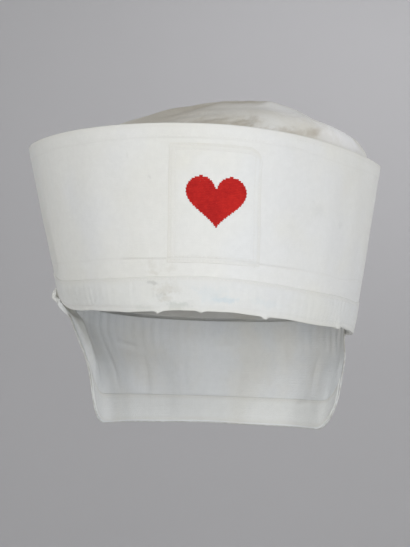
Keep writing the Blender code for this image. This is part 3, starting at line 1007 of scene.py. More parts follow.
# Where the fold at the bottom has worn into frayed lumps: angle, spread.
BAND_LUMPS = ((253.3, 1.6), (268.3, 1.3), (290.2, 1.5), (327.3, 1.6))
BAND_CREASES = (
    (324, 0.120, 88, 9, 1.0, -0.20, 0.5),
    (327, 0.125, 84, 10, 1.1, -0.24, 0.4),
    (330, 0.118, 92, 9, 1.0, -0.18, 0.3),
    (321, 0.122, 95, 8, 1.0, -0.14, 0.3),
    (254, 0.110, 70, 8, 1.4, -0.16, 0.8),
    (259, 0.070, 20, 12, 1.4, -0.18, 0.8),
    (244, 0.120, 80, 7, 1.0, -0.16, 0.4),
    (240, 0.090, 12, 12, 1.2, -0.12, 0.6),
    (265, 0.045, 8, 10, 1.0, -0.22, 0.5),
    (272, 0.075, 6, 9, 1.6, -0.16, 0.6),
    (281, 0.060, -8, 12, 1.4, -0.14, 0.5),
    (292, 0.105, 82, 9, 1.2, -0.12, 0.4),
    (300, 0.080, -6, 14, 1.3, -0.12, 0.6),
    (311, 0.100, 86, 9, 1.1, -0.14, 0.4),
    (342, 0.090, 78, 11, 1.3, -0.20, 0.6),
    (356, 0.110, 92, 9, 1.1, -0.18, 0.4),
    (14, 0.080, 12, 14, 1.5, -0.20, 0.8),
    (31, 0.110, 84, 10, 1.2, -0.20, 0.5),
    (52, 0.090, 96, 11, 1.2, -0.22, 0.4),
    (76, 0.080, -10, 14, 1.5, -0.18, 0.6),
    (96, 0.110, 86, 10, 1.2, -0.20, 0.5),
    (121, 0.090, 80, 11, 1.2, -0.22, 0.6),
    (147, 0.080, 10, 14, 1.5, -0.20, 0.6),
    (169, 0.110, 94, 10, 1.2, -0.20, 0.5),
    (196, 0.100, 86, 11, 1.3, -0.22, 0.5),
    (214, 0.080, -8, 12, 1.3, -0.16, 0.5),
    (229, 0.110, 84, 9, 1.1, -0.16, 0.4),
)


def band_relief(angle, part):
    """The cuff's own relief, and the band's on top of it."""
    share, top = part * band_top_at(angle), band_top_at(angle)
    relief = creases(BAND_CREASES, angle, share, CUFF_RADIUS * 0.9, CUFF_HEIGHT)
    relief += stitched_line(angle, share, top - BAND_ROW, 0.0050, 0.00007)
    uneven = 0.00010 * puckers(angle, CUFF_RADIUS, 0.0056) * smooth(share / 0.03)
    relief += uneven * smooth((top - share) / 0.06)
    # A stitched fold just above the edge, strongest beside the right ear.
    relief -= 0.00018 * furrow(share, BAND_EDGE_ROW) * (0.4 + hump(angle, 222, 24))
    for middle, spread in BAND_LUMPS:
        relief += 0.0006 * hump(angle, middle, spread) * bell(share, 0.035)
    return cuff_relief(angle, share) + relief


print("band's creases:", len(BAND_CREASES))

# %% The lower band
BAND_WALL, BAND_LIFT = 0.0006, 0.00045


def band_point(angle, part):
    """A part of 0 is the lower edge, and 1 the band's wandering top edge."""
    return cuff_point(angle, np.asarray(part) * band_top_at(angle))


def band_grime_and_shade(angle, part):
    # Grime along the rows of sewing, and painted shade with grime along the ledge of the band's top
    # edge.
    share = part * band_top_at(angle)
    row = furrow(share, band_top_at(angle) - BAND_ROW, 0.00045)
    worn = 0.25 + humps(((226, 20, 0.45), (318, 24, 0.3), (90, 60, 0.5)), angle)
    edge_row = furrow(share, BAND_EDGE_ROW, 0.0006) * (0.25 + 0.5 * hump(angle, 222, 24))
    top = 0.7 * smooth((part - 0.985) / 0.015)
    return np.clip((0.5 * row + top) * worn + edge_row, 0, 1)


band_face = Face(band_point, band_relief, band_grime_and_shade)
band_cloth = cloth(
    "lower_band_cloth",
    band_face,
    round_the_head(600),
    close_to_edges(0.004, 1, 1 / 24, 0.05, 0.05, fine=((0.86, 0.95),), fine_step=0.02),
    BAND_WALL,
    band_linen,
    ring=True,
    lift=BAND_LIFT,
)

# %% [markdown]
# ## The patch
#
# The patch is an oblong of close linen, cut square, turned under and stitched down all
# round. Its sides wander slightly and the upper corner at the wearer's left is rounded. It
# lies on the cuff, so its points are found from a distance across and a height, and then
# wrapped round the cuff's ring.

# %% The patch's shape
PATCH_ROWS = (0.0011, 0.0034)  # how far inside its edge the rows of sewing lie


def patch_place(part_across, part_up):
    """Angle and share of a place on the patch, whose sides wander slightly."""
    wander = 0.0003 * np.sin(5.0 * part_up + 1.0)
    across = PATCH_MIDDLE + wander + (part_across - 0.5) * PATCH_WIDTH
    height = PATCH_FOOT + part_up * PATCH_HEIGHT
    height = height + 0.0003 * np.sin(4.0 * part_across + 0.5) * part_up
    # The rounded upper corner at the wearer's left.
    corner = 0.0075
    into = np.clip((part_across - 1) * PATCH_WIDTH + corner, 0, corner)
    drop = corner - np.sqrt(corner**2 - into**2)
    share = (height - drop * smooth((part_up - 0.6) / 0.4)) / CUFF_HEIGHT
    ring = ring_along([CUFF_LOWER_EDGE, CUFF_RIM], share)
    reach = np.where(across > 0, ring[..., RIGHT], ring[..., LEFT])
    return -np.arccos(np.clip(across / reach, -1, 1)), share


def from_patch_edge(part_across, part_up):
    """How far inside the patch's nearest edge a place lies, in metres."""
    inside = np.minimum(part_across, 1 - part_across) * PATCH_WIDTH
    return np.minimum(inside, np.minimum(part_up, 1 - part_up) * PATCH_HEIGHT)


print("patch:", PATCH_WIDTH * 1000, "x", round(PATCH_HEIGHT * 1000, 1), "mm")

# %% The patch
PATCH_WALL, PATCH_LIFT = 0.0004, 0.00022


def patch_relief(part_across, part_up):
    inside = from_patch_edge(part_across, part_up)
    sewn = bell(inside - PATCH_ROWS[0], 0.0006) + bell(inside - PATCH_ROWS[1], 0.0007)
    wave = np.sin(41 * part_up + 2 * np.sin(9 * part_across)) * np.sin(33 * part_across + 1.2)
    turned_under = 0.00006 * smooth((0.0042 - inside) / 0.0016)
    turned_under = turned_under - 0.00014 * smooth(1 - part_up * PATCH_HEIGHT / 0.0015)
    pull = 0.00005 * wave * bell(inside - 0.0022, 0.0025)
    return cuff_relief(*patch_place(part_across, part_up)) - 0.00011 * sewn + turned_under + pull


def patch_grime_and_shade(part_across, part_up):
    # Grime and painted shade along the rows of sewing and round the patch's edge.
    inside = from_patch_edge(part_across, part_up)
    rows = bell(inside - PATCH_ROWS[0], 0.0003) + bell(inside - PATCH_ROWS[1], 0.0004)
    # The cuff's facing presses through just above the patch's foot, painted as a line of shade.
    angle, share = patch_place(part_across, part_up)
    facing = furrow(share, facing_at(angle) + 0.001, 0.0004)
    return np.clip(0.26 * rows + 0.85 * facing + 0.2 * smooth((0.0005 - inside) / 0.0005), 0, 1)


patch_face = Face(lambda a, b: cuff_point(*patch_place(a, b)), patch_relief, patch_grime_and_shade)
patch_cloth = cloth(
    "patch_cloth",
    patch_face,
    close_to_edges(0, 1, 1 / 86, 0.016, 0.016),
    close_to_edges(0, 1, 1 / 110, 0.012, 0.012),
    PATCH_WALL,
    patch_linen,
    lift=PATCH_LIFT,
)

# %% [markdown]
# ## The crown
#
# The crown is a disc of softer linen, gathered into the cuff at its edge, so radiating
# folds start at the seam and die out towards the middle. Worn, it has slumped: its front
# lies in one broad fold that is kinked near the middle and a sharp pleat runs down to the
# cuff beside it, with small wrinkles and a pushed-out corner at the wearer's left. The large
# folds are in the solid, and this adds the sharp ones and the slump between them.

# %% The crown's creases
CROWN_LENGTH = 0.200
CROWN_CREASES = (
    (242, 0.575, 3, 60, 3.5, -0.45, 3.0),
    (250, 0.630, 7, 48, 3.4, 0.30, 2.0),
    (232, 0.560, -5, 44, 3.0, -0.40, -2.0),
    (258, 0.530, 8, 40, 2.6, -0.45, 2.4),
    (268, 0.660, -4, 46, 4.0, -0.25, 2.0),
    (272, 0.525, 40, 14, 1.8, -0.40, 1.0),
    (289, 0.712, 62, 20, 2.8, 0.60, 1.6),
    (291, 0.585, -3, 30, 1.2, -0.40, 1.4),
    (300, 0.605, 32, 18, 1.4, -0.30, 1.2),
    (305, 0.565, -12, 22, 1.4, -0.35, -1.2),
    (309, 0.515, 20, 16, 1.6, -0.55, 0.8),
    (315, 0.520, 100, 12, 1.4, 0.55, 1.0),
    (322, 0.600, -24, 34, 3.4, -0.30, 2.0),
    (337, 0.550, 78, 18, 2.6, 0.50, 1.0),
    (345, 0.610, -30, 30, 3.2, -0.40, 2.0),
    (356, 0.530, 84, 24, 4.0, 0.30, 1.6),
    (4, 0.600, 100, 32, 3.0, -0.9, 2.0),
    (20, 0.640, 80, 36, 3.4, -1.0, -2.0),
    (27, 0.520, 10, 24, 2.4, -0.7, 1.2),
    (52, 0.610, 96, 38, 3.2, -1.1, 2.4),
    (60, 0.520, -8, 28, 2.6, -0.7, 1.5),
    (84, 0.640, 84, 36, 3.2, -1.0, 2.0),
    (106, 0.560, 12, 30, 2.8, -0.8, 2.0),
    (114, 0.650, 92, 36, 3.2, -1.0, -2.0),
    (140, 0.600, 80, 34, 3.0, -0.9, 2.0),
    (150, 0.520, -10, 28, 2.6, -0.7, 1.5),
    (172, 0.640, 96, 36, 3.4, -0.9, 2.0),
    (186, 0.560, 10, 28, 2.6, -0.7, 1.2),
    (208, 0.600, 84, 32, 3.0, -0.6, 2.0),
    (60, 0.830, 30, 40, 3.0, -0.6, 3.0),
    (150, 0.800, -20, 42, 3.2, -0.6, 3.0),
    (260, 0.820, 14, 40, 3.4, -0.5, 3.0),
    (350, 0.800, -34, 38, 3.0, -0.6, 2.0),
)

# Where the crown stands prouder or lower than its broad shape, which slumped as it was worn:
# angle, share, spread in degrees, spread in share, height.
CROWN_SLUMP = (
    (196, 0.585, 13, 0.070, 0.0032),
    (205, 0.700, 12, 0.070, 0.0005),
    (214, 0.800, 12, 0.070, -0.0005),
    (230, 0.850, 12, 0.080, 0.0014),
    (250, 0.850, 12, 0.080, 0.0006),
    (272, 0.840, 12, 0.080, 0.0004),
    (300, 0.755, 9, 0.060, 0.0006),
    (313, 0.740, 8, 0.060, 0.0004),
    (324, 0.640, 9, 0.050, -0.0028),
    (333, 0.575, 8, 0.045, -0.0003),
    (352, 0.545, 11, 0.045, -0.0007),
    (356, 0.495, 12, 0.030, 0.0008),
)
# Where the sharp pleat passes, and how many degrees it leans over the whole height.
PLEAT_ANGLE, PLEAT_SHARE, PLEAT_LEAN = 277.4, 0.634, 18


def crown_relief(angle, share):
    ring = ring_along(CROWN_STACK, share)
    radius = np.maximum((ring[..., RIGHT] + ring[..., LEFT]) / 2, 0.004)
    relief = creases(CROWN_CREASES, angle, share, radius, CROWN_LENGTH)
    # Gathers that fade above the cuff's rim.
    gathered = smooth((0.62 - share) / 0.30) * smooth((share - 0.02) / 0.10)
    relief += 0.00040 * gathered * puckers(angle, 0.095, 0.0140)
    # The pleat leans to the wearer's left, where it stands proud and runs out gently.
    pleat = np.radians(PLEAT_ANGLE + (PLEAT_SHARE - share) * PLEAT_LEAN)
    past = (angle % math.tau - pleat) * radius
    run_out = bell(np.maximum(past, 0), 0.022) * smooth(past / 0.0040 + 0.5)
    reach = smooth((share - 0.40) / 0.08) * smooth((0.66 - share) / 0.14)
    relief += reach * (0.0013 * run_out - 0.0005 * bell(past + 0.0030, 0.0036))
    for middle, at, spread, over, height in CROWN_SLUMP:
        relief += height * hump(angle, middle, spread) * bell(share - at, over)
    slack = 0.00022 * np.sin(17 * angle + 9 * share) * np.sin(26 * share + 3 * np.sin(2 * angle))
    return (relief + slack) * smooth((1 - share) / 0.22) - 0.0004


print("crown's creases:", len(CROWN_CREASES), "and", len(CROWN_SLUMP), "places where it slumped")

# %% The crown
CROWN_WALL = 0.0009
# Where the crown meets the cuff's rim, seen from the front: angle in degrees, share.
# Below it and just above it, the crown gets painted shadow of the rim and dust.
RIM_LINE_ON_CROWN = (
    (180, 0.56), (221, 0.590), (239, 0.565), (258, 0.515), (270, 0.498), (284, 0.482), (303, 0.484),
    (323, 0.486), (339, 0.498), (356, 0.484), (384, 0.46), (516, 0.46), (540, 0.56),
)


def crown_rim_shade_and_dust(angle, share):
    """Painted shadow of the rim, and dust, along the line where the crown meets the rim, most at
    the wearer's left.
    """
    line = np.interp((np.degrees(angle) - 180) % 360 + 180, *zip(*RIM_LINE_ON_CROWN))
    return (0.7 + 0.9 * hump(angle, 294, 14)) * smooth((line - share) / 0.014 + 0.6)


def crown_uv(degrees, share):
    """Where a place on the crown lies on its disc of cloth."""
    turn = math.radians(degrees)
    reach = path_length(crown_point(turn, np.linspace(share, 1, 60)))
    return reach * math.cos(turn), reach * math.sin(turn)


# Soil with painted shade on the crown's front left and middle, painted shade along its top edge,
# painted shadow of the rim with dust along the rim, and painted light: a brighter white where light
# falls on the crown's right.
SOIL_AND_SHADE, DUST_AND_SHADOW, PAINTED_LIGHT_WHITE = (0.50, 0.455, 0.37, 1), (0.47, 0.42, 0.34, 1), (0.92, 0.925, 0.935, 1)
CROWN_SPOTS = (
    (226, 0.62, 52, 60, SOIL_AND_SHADE, 0.64, 0.15),
    (250, 0.70, 50, 40, SOIL_AND_SHADE, 0.26, 0.15),
    (262, 0.535, 44, 18, SOIL_AND_SHADE, 0.72, 0.3),
    (276.5, 0.52, 11, 15, DUST_AND_SHADOW, 0.50, 0.5),
    (287.0, 0.486, 10, 7, DUST_AND_SHADOW, 0.45, 0.5),
    (293.0, 0.490, 9, 7, DUST_AND_SHADOW, 0.50, 0.5),
    (298.5, 0.480, 9, 5.5, DUST_AND_SHADOW, 0.42, 0.5),
    (304.0, 0.480, 6, 6.5, DUST_AND_SHADOW, 0.50, 0.5),
    (307.0, 0.484, 4, 6, DUST_AND_SHADOW, 0.45, 0.5),
    (297.0, 0.640, 22, 20, PAINTED_LIGHT_WHITE, 0.60, 0.3),
    (222, 0.79, 30, 16, SOIL_AND_SHADE, 0.40, 0.1),
    (250, 0.80, 26, 13, SOIL_AND_SHADE, 0.75, 0.1),
    (274, 0.785, 22, 11, SOIL_AND_SHADE, 0.75, 0.1),
    (328.0, 0.510, 36, 34, PAINTED_LIGHT_WHITE, 1.0, 0.25),
    (60.0, 0.62, 40, 30, SOIL_AND_SHADE, 0.50, 0.4),
    (130.0, 0.58, 35, 30, SOIL_AND_SHADE, 0.50, 0.4),
    (10.0, 0.85, 30, 20, SOIL_AND_SHADE, 0.35, 0.5),
    (180.0, 0.60, 14, 20, DUST_AND_SHADOW, 0.30, 0.6),
)
crown_linen = linen(
    "soft_crown_linen",
    (0.805, 0.80, 0.77, 1),
    (0.75, 0.735, 0.68, 1),
    (0.81, 0.82, 0.805, 1),
    0.00030,
    relief=0.00007,
    threads=1900.0,
    slubs=0.7,
    edge_amount=0.0,
    where=crown_uv,
    spots=CROWN_SPOTS,
)
crown_cloth = cloth(
    "crown_cloth",
    Face(crown_point, crown_relief, crown_rim_shade_and_dust),
    round_the_head(384),
    close_to_edges(0, 1, 1 / 118, 0.008),
    CROWN_WALL,
    crown_linen,
    ring=True,
    pole=True,
)

# %% [markdown]
# ## The neck flap and its hem
#
# The flap hides the hair at the nape. It hangs from inside the cuff's edge in soft shallow
# folds, its front corners are rounded, and a hem about 16 mm wide is turned to the inside,
# where its upper edge shows as a line when the flap is seen from the front. Beside the
# right ear the flap's upper corner has crept out from under the cuff: its edge is rolled
# there and stands out as a small leaf. Flap and hem follow the same surface, and the hem
# lies a hair's breadth inside it.

# %% The flap's relief
FLAP_WALL = 0.0008
# The flap's creases: angle, share, tilt, length, half width, depth, bow.
FLAP_CREASES = (
    (14, 0.45, 88, 40, 3.0, -0.5, 2.0),
    (20, 0.70, 96, 30, 3.4, 0.4, 1.5),
    (33, 0.50, 84, 36, 3.4, -0.6, 2.0),
    (37, 0.78, 10, 20, 2.2, -0.4, 1.0),
    (55, 0.45, 95, 40, 3.6, -0.6, -2.0),
    (77, 0.60, 86, 38, 3.4, -0.6, 2.0),
    (82, 0.25, 8, 24, 2.2, -0.4, 1.0),
    (101, 0.50, 94, 40, 3.6, -0.6, 2.0),
    (123, 0.60, 84, 36, 3.4, -0.6, -2.0),
    (130, 0.28, -8, 24, 2.2, -0.4, 1.0),
    (145, 0.50, 96, 38, 3.4, -0.6, 2.0),
    (163, 0.50, 88, 34, 3.0, -0.5, 1.5),
    (171, 0.30, 78, 16, 2.0, -0.4, 1.0),
)


def flap_relief(angle, share):
    relief = creases(FLAP_CREASES, angle, share, SIDE_REACH, FLAP_LENGTH)
    relief += 0.00035 * smooth((0.5 - share) / 0.4) * puckers(angle, SIDE_REACH, 0.0095)
    relief -= 0.00006 * bell((1 - share) * FLAP_LENGTH - FLAP_HEM_WIDTH, 0.0009)
    relief *= smooth(from_flap_ends(angle) / 0.004 + 0.3)
    # Beside the right ear the front edge curls outwards, so its inside turns forward.
    from_front = from_flap_front(angle)
    curl = 0.0074 * smooth(1 - from_front / 0.012) - 0.0064 * smooth(1 - from_front / 0.030)
    return relief + curl * smooth(share / 0.06) * smooth((0.85 - share) / 0.5)


def flap_wall(angle, share):
    """The cloth's thickness, with a rolled edge round the leaf and a little below it."""
    rolled = smooth((share - 0.13) / 0.04) * smooth((0.38 - share) / 0.10)
    return FLAP_WALL + 0.0020 * rolled * smooth(1 - from_flap_front(angle) / 0.005)


print("flap's creases:", len(FLAP_CREASES))


# %% The neck flap
def flap_edge_shade_and_grime(angle, share):
    """Grime and painted shade along the hem's line, and painted shade on the rims of the edges
    except at the leaf.
    """
    from_foot = (1 - share) * FLAP_LENGTH
    below_leaf = np.minimum(smooth((share - 0.32) / 0.06) + (angle < math.pi / 2), 1)
    edges = smooth((0.0007 - np.minimum(from_flap_ends(angle), from_foot)) / 0.0005)
    return 0.25 * bell(from_foot - FLAP_HEM_WIDTH, 0.0006) + 2.8 * edges * below_leaf


def flap_uv(degrees, share):
    """Where a place on the flap lies on its UV map, which starts at its right end."""
    angles = np.linspace(FLAP_RIGHT_END, math.radians(degrees), 200)
    return path_length(flap_point(angles, 0.5)), share * FLAP_LENGTH


SOFT_WEAVE = {"relief": 0.00006, "threads": 1900.0, "slubs": 0.6}
# Painted shade on the inside of the flap's curled front edge beside the right ear, below the leaf.
LEAF_PAINTED_SHADE, LEAF_WARM_SHADE = (0.66, 0.67, 0.62, 1), (0.66, 0.655, 0.60, 1)
FLAP_SPOTS = (
    (170.5, 0.52, 10, 26, LEAF_PAINTED_SHADE, 0.6, 0.2),
    (173.5, 0.29, 13, 20, LEAF_WARM_SHADE, 0.95, 0.1),
    (12.0, 0.22, 8, 14, GREY, 0.20, 0.4),
)
# The flap's whites are brighter than the crown's: painted light that makes up for the shade it
# hangs in under the cuff.
flap_linen = linen(
    "soft_flap_linen",
    (0.89, 0.915, 0.93, 1),
    (0.89, 0.895, 0.87, 1),
    (0.86, 0.90, 0.93, 1),
    0.00035,
    **SOFT_WEAVE,
    edge_amount=0.0,
    where=flap_uv,
    spots=FLAP_SPOTS,
)
flap_face = Face(flap_point, flap_relief, flap_edge_shade_and_grime, turn=-1)
flap_turn = FLAP_LEFT_END - FLAP_RIGHT_END
flap_cloth = cloth(
    "neck_flap_cloth",
    flap_face,
    close_to_edges(FLAP_RIGHT_END, FLAP_LEFT_END, flap_turn / 250, 0.02, 0.02),
    close_to_edges(0, 1, 1 / 74, 0.02, 0.02, fine=((0.11, 0.29),), fine_step=0.005),
    flap_wall,
    flap_linen,
)

# %% The flap's hem
HEM_MARGIN, HEM_WALL, HEM_INSET = 0.0012, 0.0005, 0.014
HEM_LIFT = -FLAP_WALL - 0.0001


def hem_share(angle, part):
    """Where the hem lies on the flap: part 0 is its upper edge, 1 the flap's foot."""
    up = (HEM_MARGIN + (1 - np.asarray(part)) * FLAP_HEM_WIDTH) / FLAP_LENGTH
    return 1 - up / flap_foot(angle)


def hem_relief(angle, part):
    line = bell(part * FLAP_HEM_WIDTH - 0.0013, 0.0007)
    ripples = 0.00010 * puckers(angle, SIDE_REACH, 0.0058) * smooth(part / 0.1)
    return flap_relief(angle, hem_share(angle, part)) + 0.00012 * line - np.abs(ripples)


hem_linen = linen(
    "soft_hem_linen",
    (0.89, 0.91, 0.905, 1),
    (0.88, 0.89, 0.865, 1),
    (0.87, 0.895, 0.905, 1),
    0.00025,
    **SOFT_WEAVE,
)
hem_face = Face(lambda a, b: flap_point(a, hem_share(a, b)), hem_relief, turn=-1)
hem_cloth = cloth(
    "flap_hem_cloth",
    hem_face,
    close_to_edges(FLAP_RIGHT_END + HEM_INSET, FLAP_LEFT_END - HEM_INSET, 1 / 86, 0.02, 0.02),
    close_to_edges(0, 1, 1 / 20, 0.06, 0.06),
    HEM_WALL,
    hem_linen,
    lift=HEM_LIFT,
)

# %% [markdown]
# ## Thread materials
#
# Sewing thread is two strands twisted together, duller than the cloth it lies in. At this
# size the twist is a fine ripple in height and tone. The heart is worked in a soft red
# cotton that has faded unevenly, thread by thread.

# %% Threads
def thread(name, light, dark, roughness, sheen, twist=2600.0):
    """A twisted thread, uneven in tone."""
    material, tree, shader = new_material(name)
    place = tree.node("ShaderNodeTexCoord")["Object"]
    patchy, broad = tree.noise(place, 420.0, 4.0, 0.65), tree.noise(place, 60.0, 2.0)
    uneven = tree.math("MULTIPLY_ADD", patchy, 0.6, tree.math("MULTIPLY", broad, 0.4))
    ripple = {"Vector": place, "Scale": twist / 6.28, "Distortion": 1.5, "Detail": 1.0}
    strands = tree.node("ShaderNodeTexWave", ripple, bands_direction="DIAGONAL")["Fac"]
    height = tree.math("MULTIPLY", strands, 0.00005)
    tree.fill(shader, {
        "Base Color": tree.mixed(tree.between(uneven, 0.35, 0.65), dark, light),
        "Roughness": tree.between(patchy, 0.3, 0.7, roughness, roughness - 0.1),
        "Normal": tree.node("ShaderNodeBump", {"Distance": 1.0, "Height": height})[0],
        "Sheen Weight": sheen,
        "Specular IOR Level": 0.2,
    })
    return material


white_thread = thread("white_thread", (0.80, 0.80, 0.78, 1), (0.70, 0.70, 0.68, 1), 0.82, 0.12)
red_thread = thread("red_thread", (0.54, 0.018, 0.014, 1), (0.42, 0.012, 0.012, 1), 0.80, 0.0)
print("threads:", white_thread.name, red_thread.name)

# %% [markdown]
# ## Stitches by Geometry Nodes
#
# A row of stitches is one short shape repeated along a path, which is what Geometry Nodes
# are best at. The paths are drawn on the cloth's own faces as loose edges. The tree turns
# them into curves, puts a point at every stitch, stands a small rounded bar there along the
# curve, and realizes the lot as one mesh. Their pitch and length are named inputs, so a
# coarser hand needs no new tree.

# %% Trees that follow paths
def path_group(name, uneven, seed, **sizes):
    """Starts a tree that has sizes as inputs: it, its paths as curves, and a random share."""
    named = [(title.replace("_", " "), "Float", value) for title, value in sizes.items()]
    group = Group(
        name,
        ("Geometry", "Geometry"),
        *named,
        ("Uneven", "Float", uneven),
        ("Seed", "Int", seed),
        ("Material", "Material"),
        kind="GeometryNodeTree",
    )
    curves = group.node("GeometryNodeMeshToCurve", {0: group.given["Geometry"]})[0]
    lowest = group.math("SUBTRACT", 1.0, group.given["Uneven"])
    draws = {2: lowest, 3: 1.0, "Seed": group.given["Seed"]}
    vary = group.node("FunctionNodeRandomValue", draws, data_type="FLOAT")[1]
    return group, curves, vary


def end_group(group, shape):
    """Makes what a tree has placed real, smooth and dressed in its material."""
    real = group.node("GeometryNodeRealizeInstances", {0: shape})[0]
    soft = group.node("GeometryNodeSetShadeSmooth", {"Geometry": real})[0]
    dressing = {"Geometry": soft, "Material": group.given["Material"]}
    group.give(Geometry=group.node("GeometryNodeSetMaterial", dressing)[0])


def made_along(name, paths, group, **values):
    """Draws paths as loose edges, runs a tree on them and keeps the result as a plain mesh."""
    starts = np.cumsum([0] + [len(path) for path in paths])
    edges = [(i, i + 1) for start, end in zip(starts, starts[1:]) for i in range(start, end - 1)]
    drawn = bpy.data.meshes.new("paths")
    drawn.from_pydata(np.concatenate(paths).tolist(), edges, [])
    piece = add_object(name, drawn)
    modifier = piece.modifiers.new("nodes", "NODES")
    modifier.node_group = group.tree
    for item in group.tree.interface.items_tree:
        if item.in_out == "INPUT" and item.name in values:
            modifier[item.identifier] = values[item.name]
    evaluated = piece.evaluated_get(bpy.context.evaluated_depsgraph_get())
    mesh = bpy.data.meshes.new_from_object(evaluated)
    piece.modifiers.clear()
    piece.data = mesh
    bpy.data.meshes.remove(drawn)
    mesh.name = name
    print(f"{name}: {len(mesh.polygons)} faces")
    return piece


# %% The stitch tree
stitch_group, curves, vary = path_group(
    "stitches_along_paths", 0.25, 4, Pitch=0.0021, Stitch_Length=0.0016, Thickness=0.00030
)
given = stitch_group.given
stepping = {"Curve": curves, "Length": given["Pitch"]}
points = stitch_group.node("GeometryNodeCurveToPoints", stepping, mode="LENGTH")
bar = stitch_group.node("GeometryNodeMeshUVSphere", {"Segments": 6, "Rings": 4, "Radius": 0.5})
long = stitch_group.math("MULTIPLY", given["Stitch Length"], vary)
thick = given["Thickness"]
size = stitch_group.node("ShaderNodeCombineXYZ", {0: thick, 1: thick, 2: long})[0]
tangent = {"Vector": points["Tangent"]}
turns = stitch_group.node("FunctionNodeAlignRotationToVector", tangent, axis="Z")[0]
placing = {"Points": points["Points"], "Instance": bar["Mesh"], "Rotation": turns, "Scale": size}
end_group(stitch_group, stitch_group.node("GeometryNodeInstanceOnPoints", placing)[0])


# %% The rows of sewing
def row_on(face, start, end, share, out=0.0, count=200):
    """A path on a face between two angles. The share is a number or a function of them."""
    angles = np.linspace(start, end, count)
    return face.at(angles, share(angles) if callable(share) else share, out)


def patch_border(inset, count=60):
    """A row of sewing all round the patch, inside its edge."""
    side, rise = inset / PATCH_WIDTH, inset / PATCH_HEIGHT
    way = np.linspace(0, 4, 4 * (count - 1) + 1)
    across = np.interp(way, range(5), [side, side, 1 - side, 1 - side, side])
    up = np.interp(way, range(5), [rise, 1 - rise, 1 - rise, rise, rise])
    return patch_face.at(across, up, PATCH_LIFT)


all_round = (SEAM_START, SEAM_START + math.tau)
along_flap = (FLAP_RIGHT_END + 0.03, FLAP_LEFT_END - 0.03)
HEM_SEWN_AT = 0.09


def facing_row(angle):
    return facing_at(angle) - FACING_ROW


sewing_paths = [
    row_on(cuff_face, *all_round, lambda a: top_hem_at(a) + HEM_ROW, count=800),
    row_on(cuff_face, *np.radians((296, 350)), 0.972),
    row_on(cuff_face, *np.radians((241, 314)), facing_row),
    row_on(cuff_face, *np.radians((257.2, 286.2)), lambda a: facing_at(a) - 0.027),
    row_on(cuff_face, *np.radians((314.4, 600)), facing_row, count=600),
    cuff_face.at(SEAM_START + 0.0015 / CUFF_RADIUS, np.linspace(0.19, 0.99, 80)),
    row_on(band_face, *all_round, lambda a: 1 - BAND_ROW / band_top_at(a), BAND_LIFT, 800),
    row_on(band_face, *np.radians((196, 250)), 0.17, BAND_LIFT),
    *[patch_border(inset) for inset in PATCH_ROWS],
    row_on(flap_face, *along_flap, lambda a: hem_share(a, HEM_SEWN_AT), count=300),
    row_on(hem_face, *along_flap, HEM_SEWN_AT, HEM_LIFT - HEM_WALL, 300),
]
sewing = made_along("sewing", sewing_paths, stitch_group, Material=white_thread)

# %% [markdown]
# ## The woven heart
#
# The heart is brocaded into the patch: one red thread runs to and fro, row upon row, and
# turns back at each side, so the outline is made of tiny steps. Each row becomes a path
# between the two sides of the heart, and the tree gives the paths a round thread with closed
# ends. The rows lie so close that no ground shows between them.

# %% The thread tree
thread_group, curves, vary = path_group(
    "threads_along_paths", 0.10, 7, Thickness=0.0010, Flatness=0.45, Step=0.0009
)
given = thread_group.given
stepping = {"Curve": curves, "Length": given["Step"]}
even = thread_group.node("GeometryNodeResampleCurve", stepping, mode="LENGTH")[0]
position = thread_group.node("GeometryNodeInputPosition")[0]
from_axis = thread_group.vector("MULTIPLY", position, (1.0, 1.0, 0.0))
outwards = {"Curve": even, "Normal": from_axis}
facing_out = thread_group.node("GeometryNodeSetCurveNormal", outwards, mode="FREE")[0]
half = thread_group.math("MULTIPLY", given["Thickness"], 0.5)
circle = thread_group.node("GeometryNodeCurvePrimitiveCircle", {"Resolution": 8, "Radius": half})[0]
pressed = thread_group.node("ShaderNodeCombineXYZ", {0: given["Flatness"], 1: 1.0, 2: 1.0})[0]
profile = thread_group.node("GeometryNodeTransform", {"Geometry": circle, "Scale": pressed})[0]
tube = {"Curve": facing_out, "Profile Curve": profile, "Scale": vary, "Fill Caps": True}
end_group(thread_group, thread_group.node("GeometryNodeCurveToMesh", tube)[0])

# %% The heart
HEART_WIDTH, HEART_PITCH = 0.0320, 0.00086
HEART_MIDDLE, HEART_CENTRE = 0.0034, 0.0590
HEART_TURN_BACK, HEART_STAGGER = 0.0004, 0.00012
swing = np.linspace(0, math.tau, 721)
heart_x = HEART_WIDTH / 2 * np.sin(swing) ** 3
heart_y = 13 * np.cos(swing) - 5 * np.cos(2 * swing) - 2 * np.cos(3 * swing) - np.cos(4 * swing)
heart_y = (heart_y + 2.5) * HEART_WIDTH / 32


def heart_crossings(height):
    """Where a level line crosses the heart's outline, from left to right."""
    below = heart_y < height
    spots = np.flatnonzero(below[:-1] != below[1:])
    part = (height - heart_y[spots]) / (heart_y[spots + 1] - heart_y[spots])
    return np.sort(heart_x[spots] + part * (heart_x[spots + 1] - heart_x[spots]))


def on_patch(across, up):
    """Points just above the patch, from metres across and up."""
    part_across = (across - PATCH_MIDDLE) / PATCH_WIDTH + 0.5
    return patch_face.at(part_across, (up - PATCH_FOOT) / PATCH_HEIGHT, PATCH_LIFT - 0.00004)


heart_paths = []
rows = np.arange(heart_y.min() + HEART_PITCH / 2, heart_y.max(), HEART_PITCH)
for index, height in enumerate(rows):
    bounds = heart_crossings(height)
    for start, end in zip(bounds[::2] + HEART_TURN_BACK, bounds[1::2] - HEART_TURN_BACK):
        if end - start > HEART_TURN_BACK:
            across = np.linspace(start, end, 30) + HEART_STAGGER * (-1) ** index
            heart_paths.append(on_patch(HEART_MIDDLE + across, HEART_CENTRE + height))
heart = made_along("woven_heart", heart_paths, thread_group, Material=red_thread)
print("heart rows:", len(heart_paths))

# %% [markdown]
# ## Frayed ends
#
# Where the lower fold has worn through, a few thread ends stick out by a millimetre or two.
# They use the thread tree again, finer, on short curved paths.

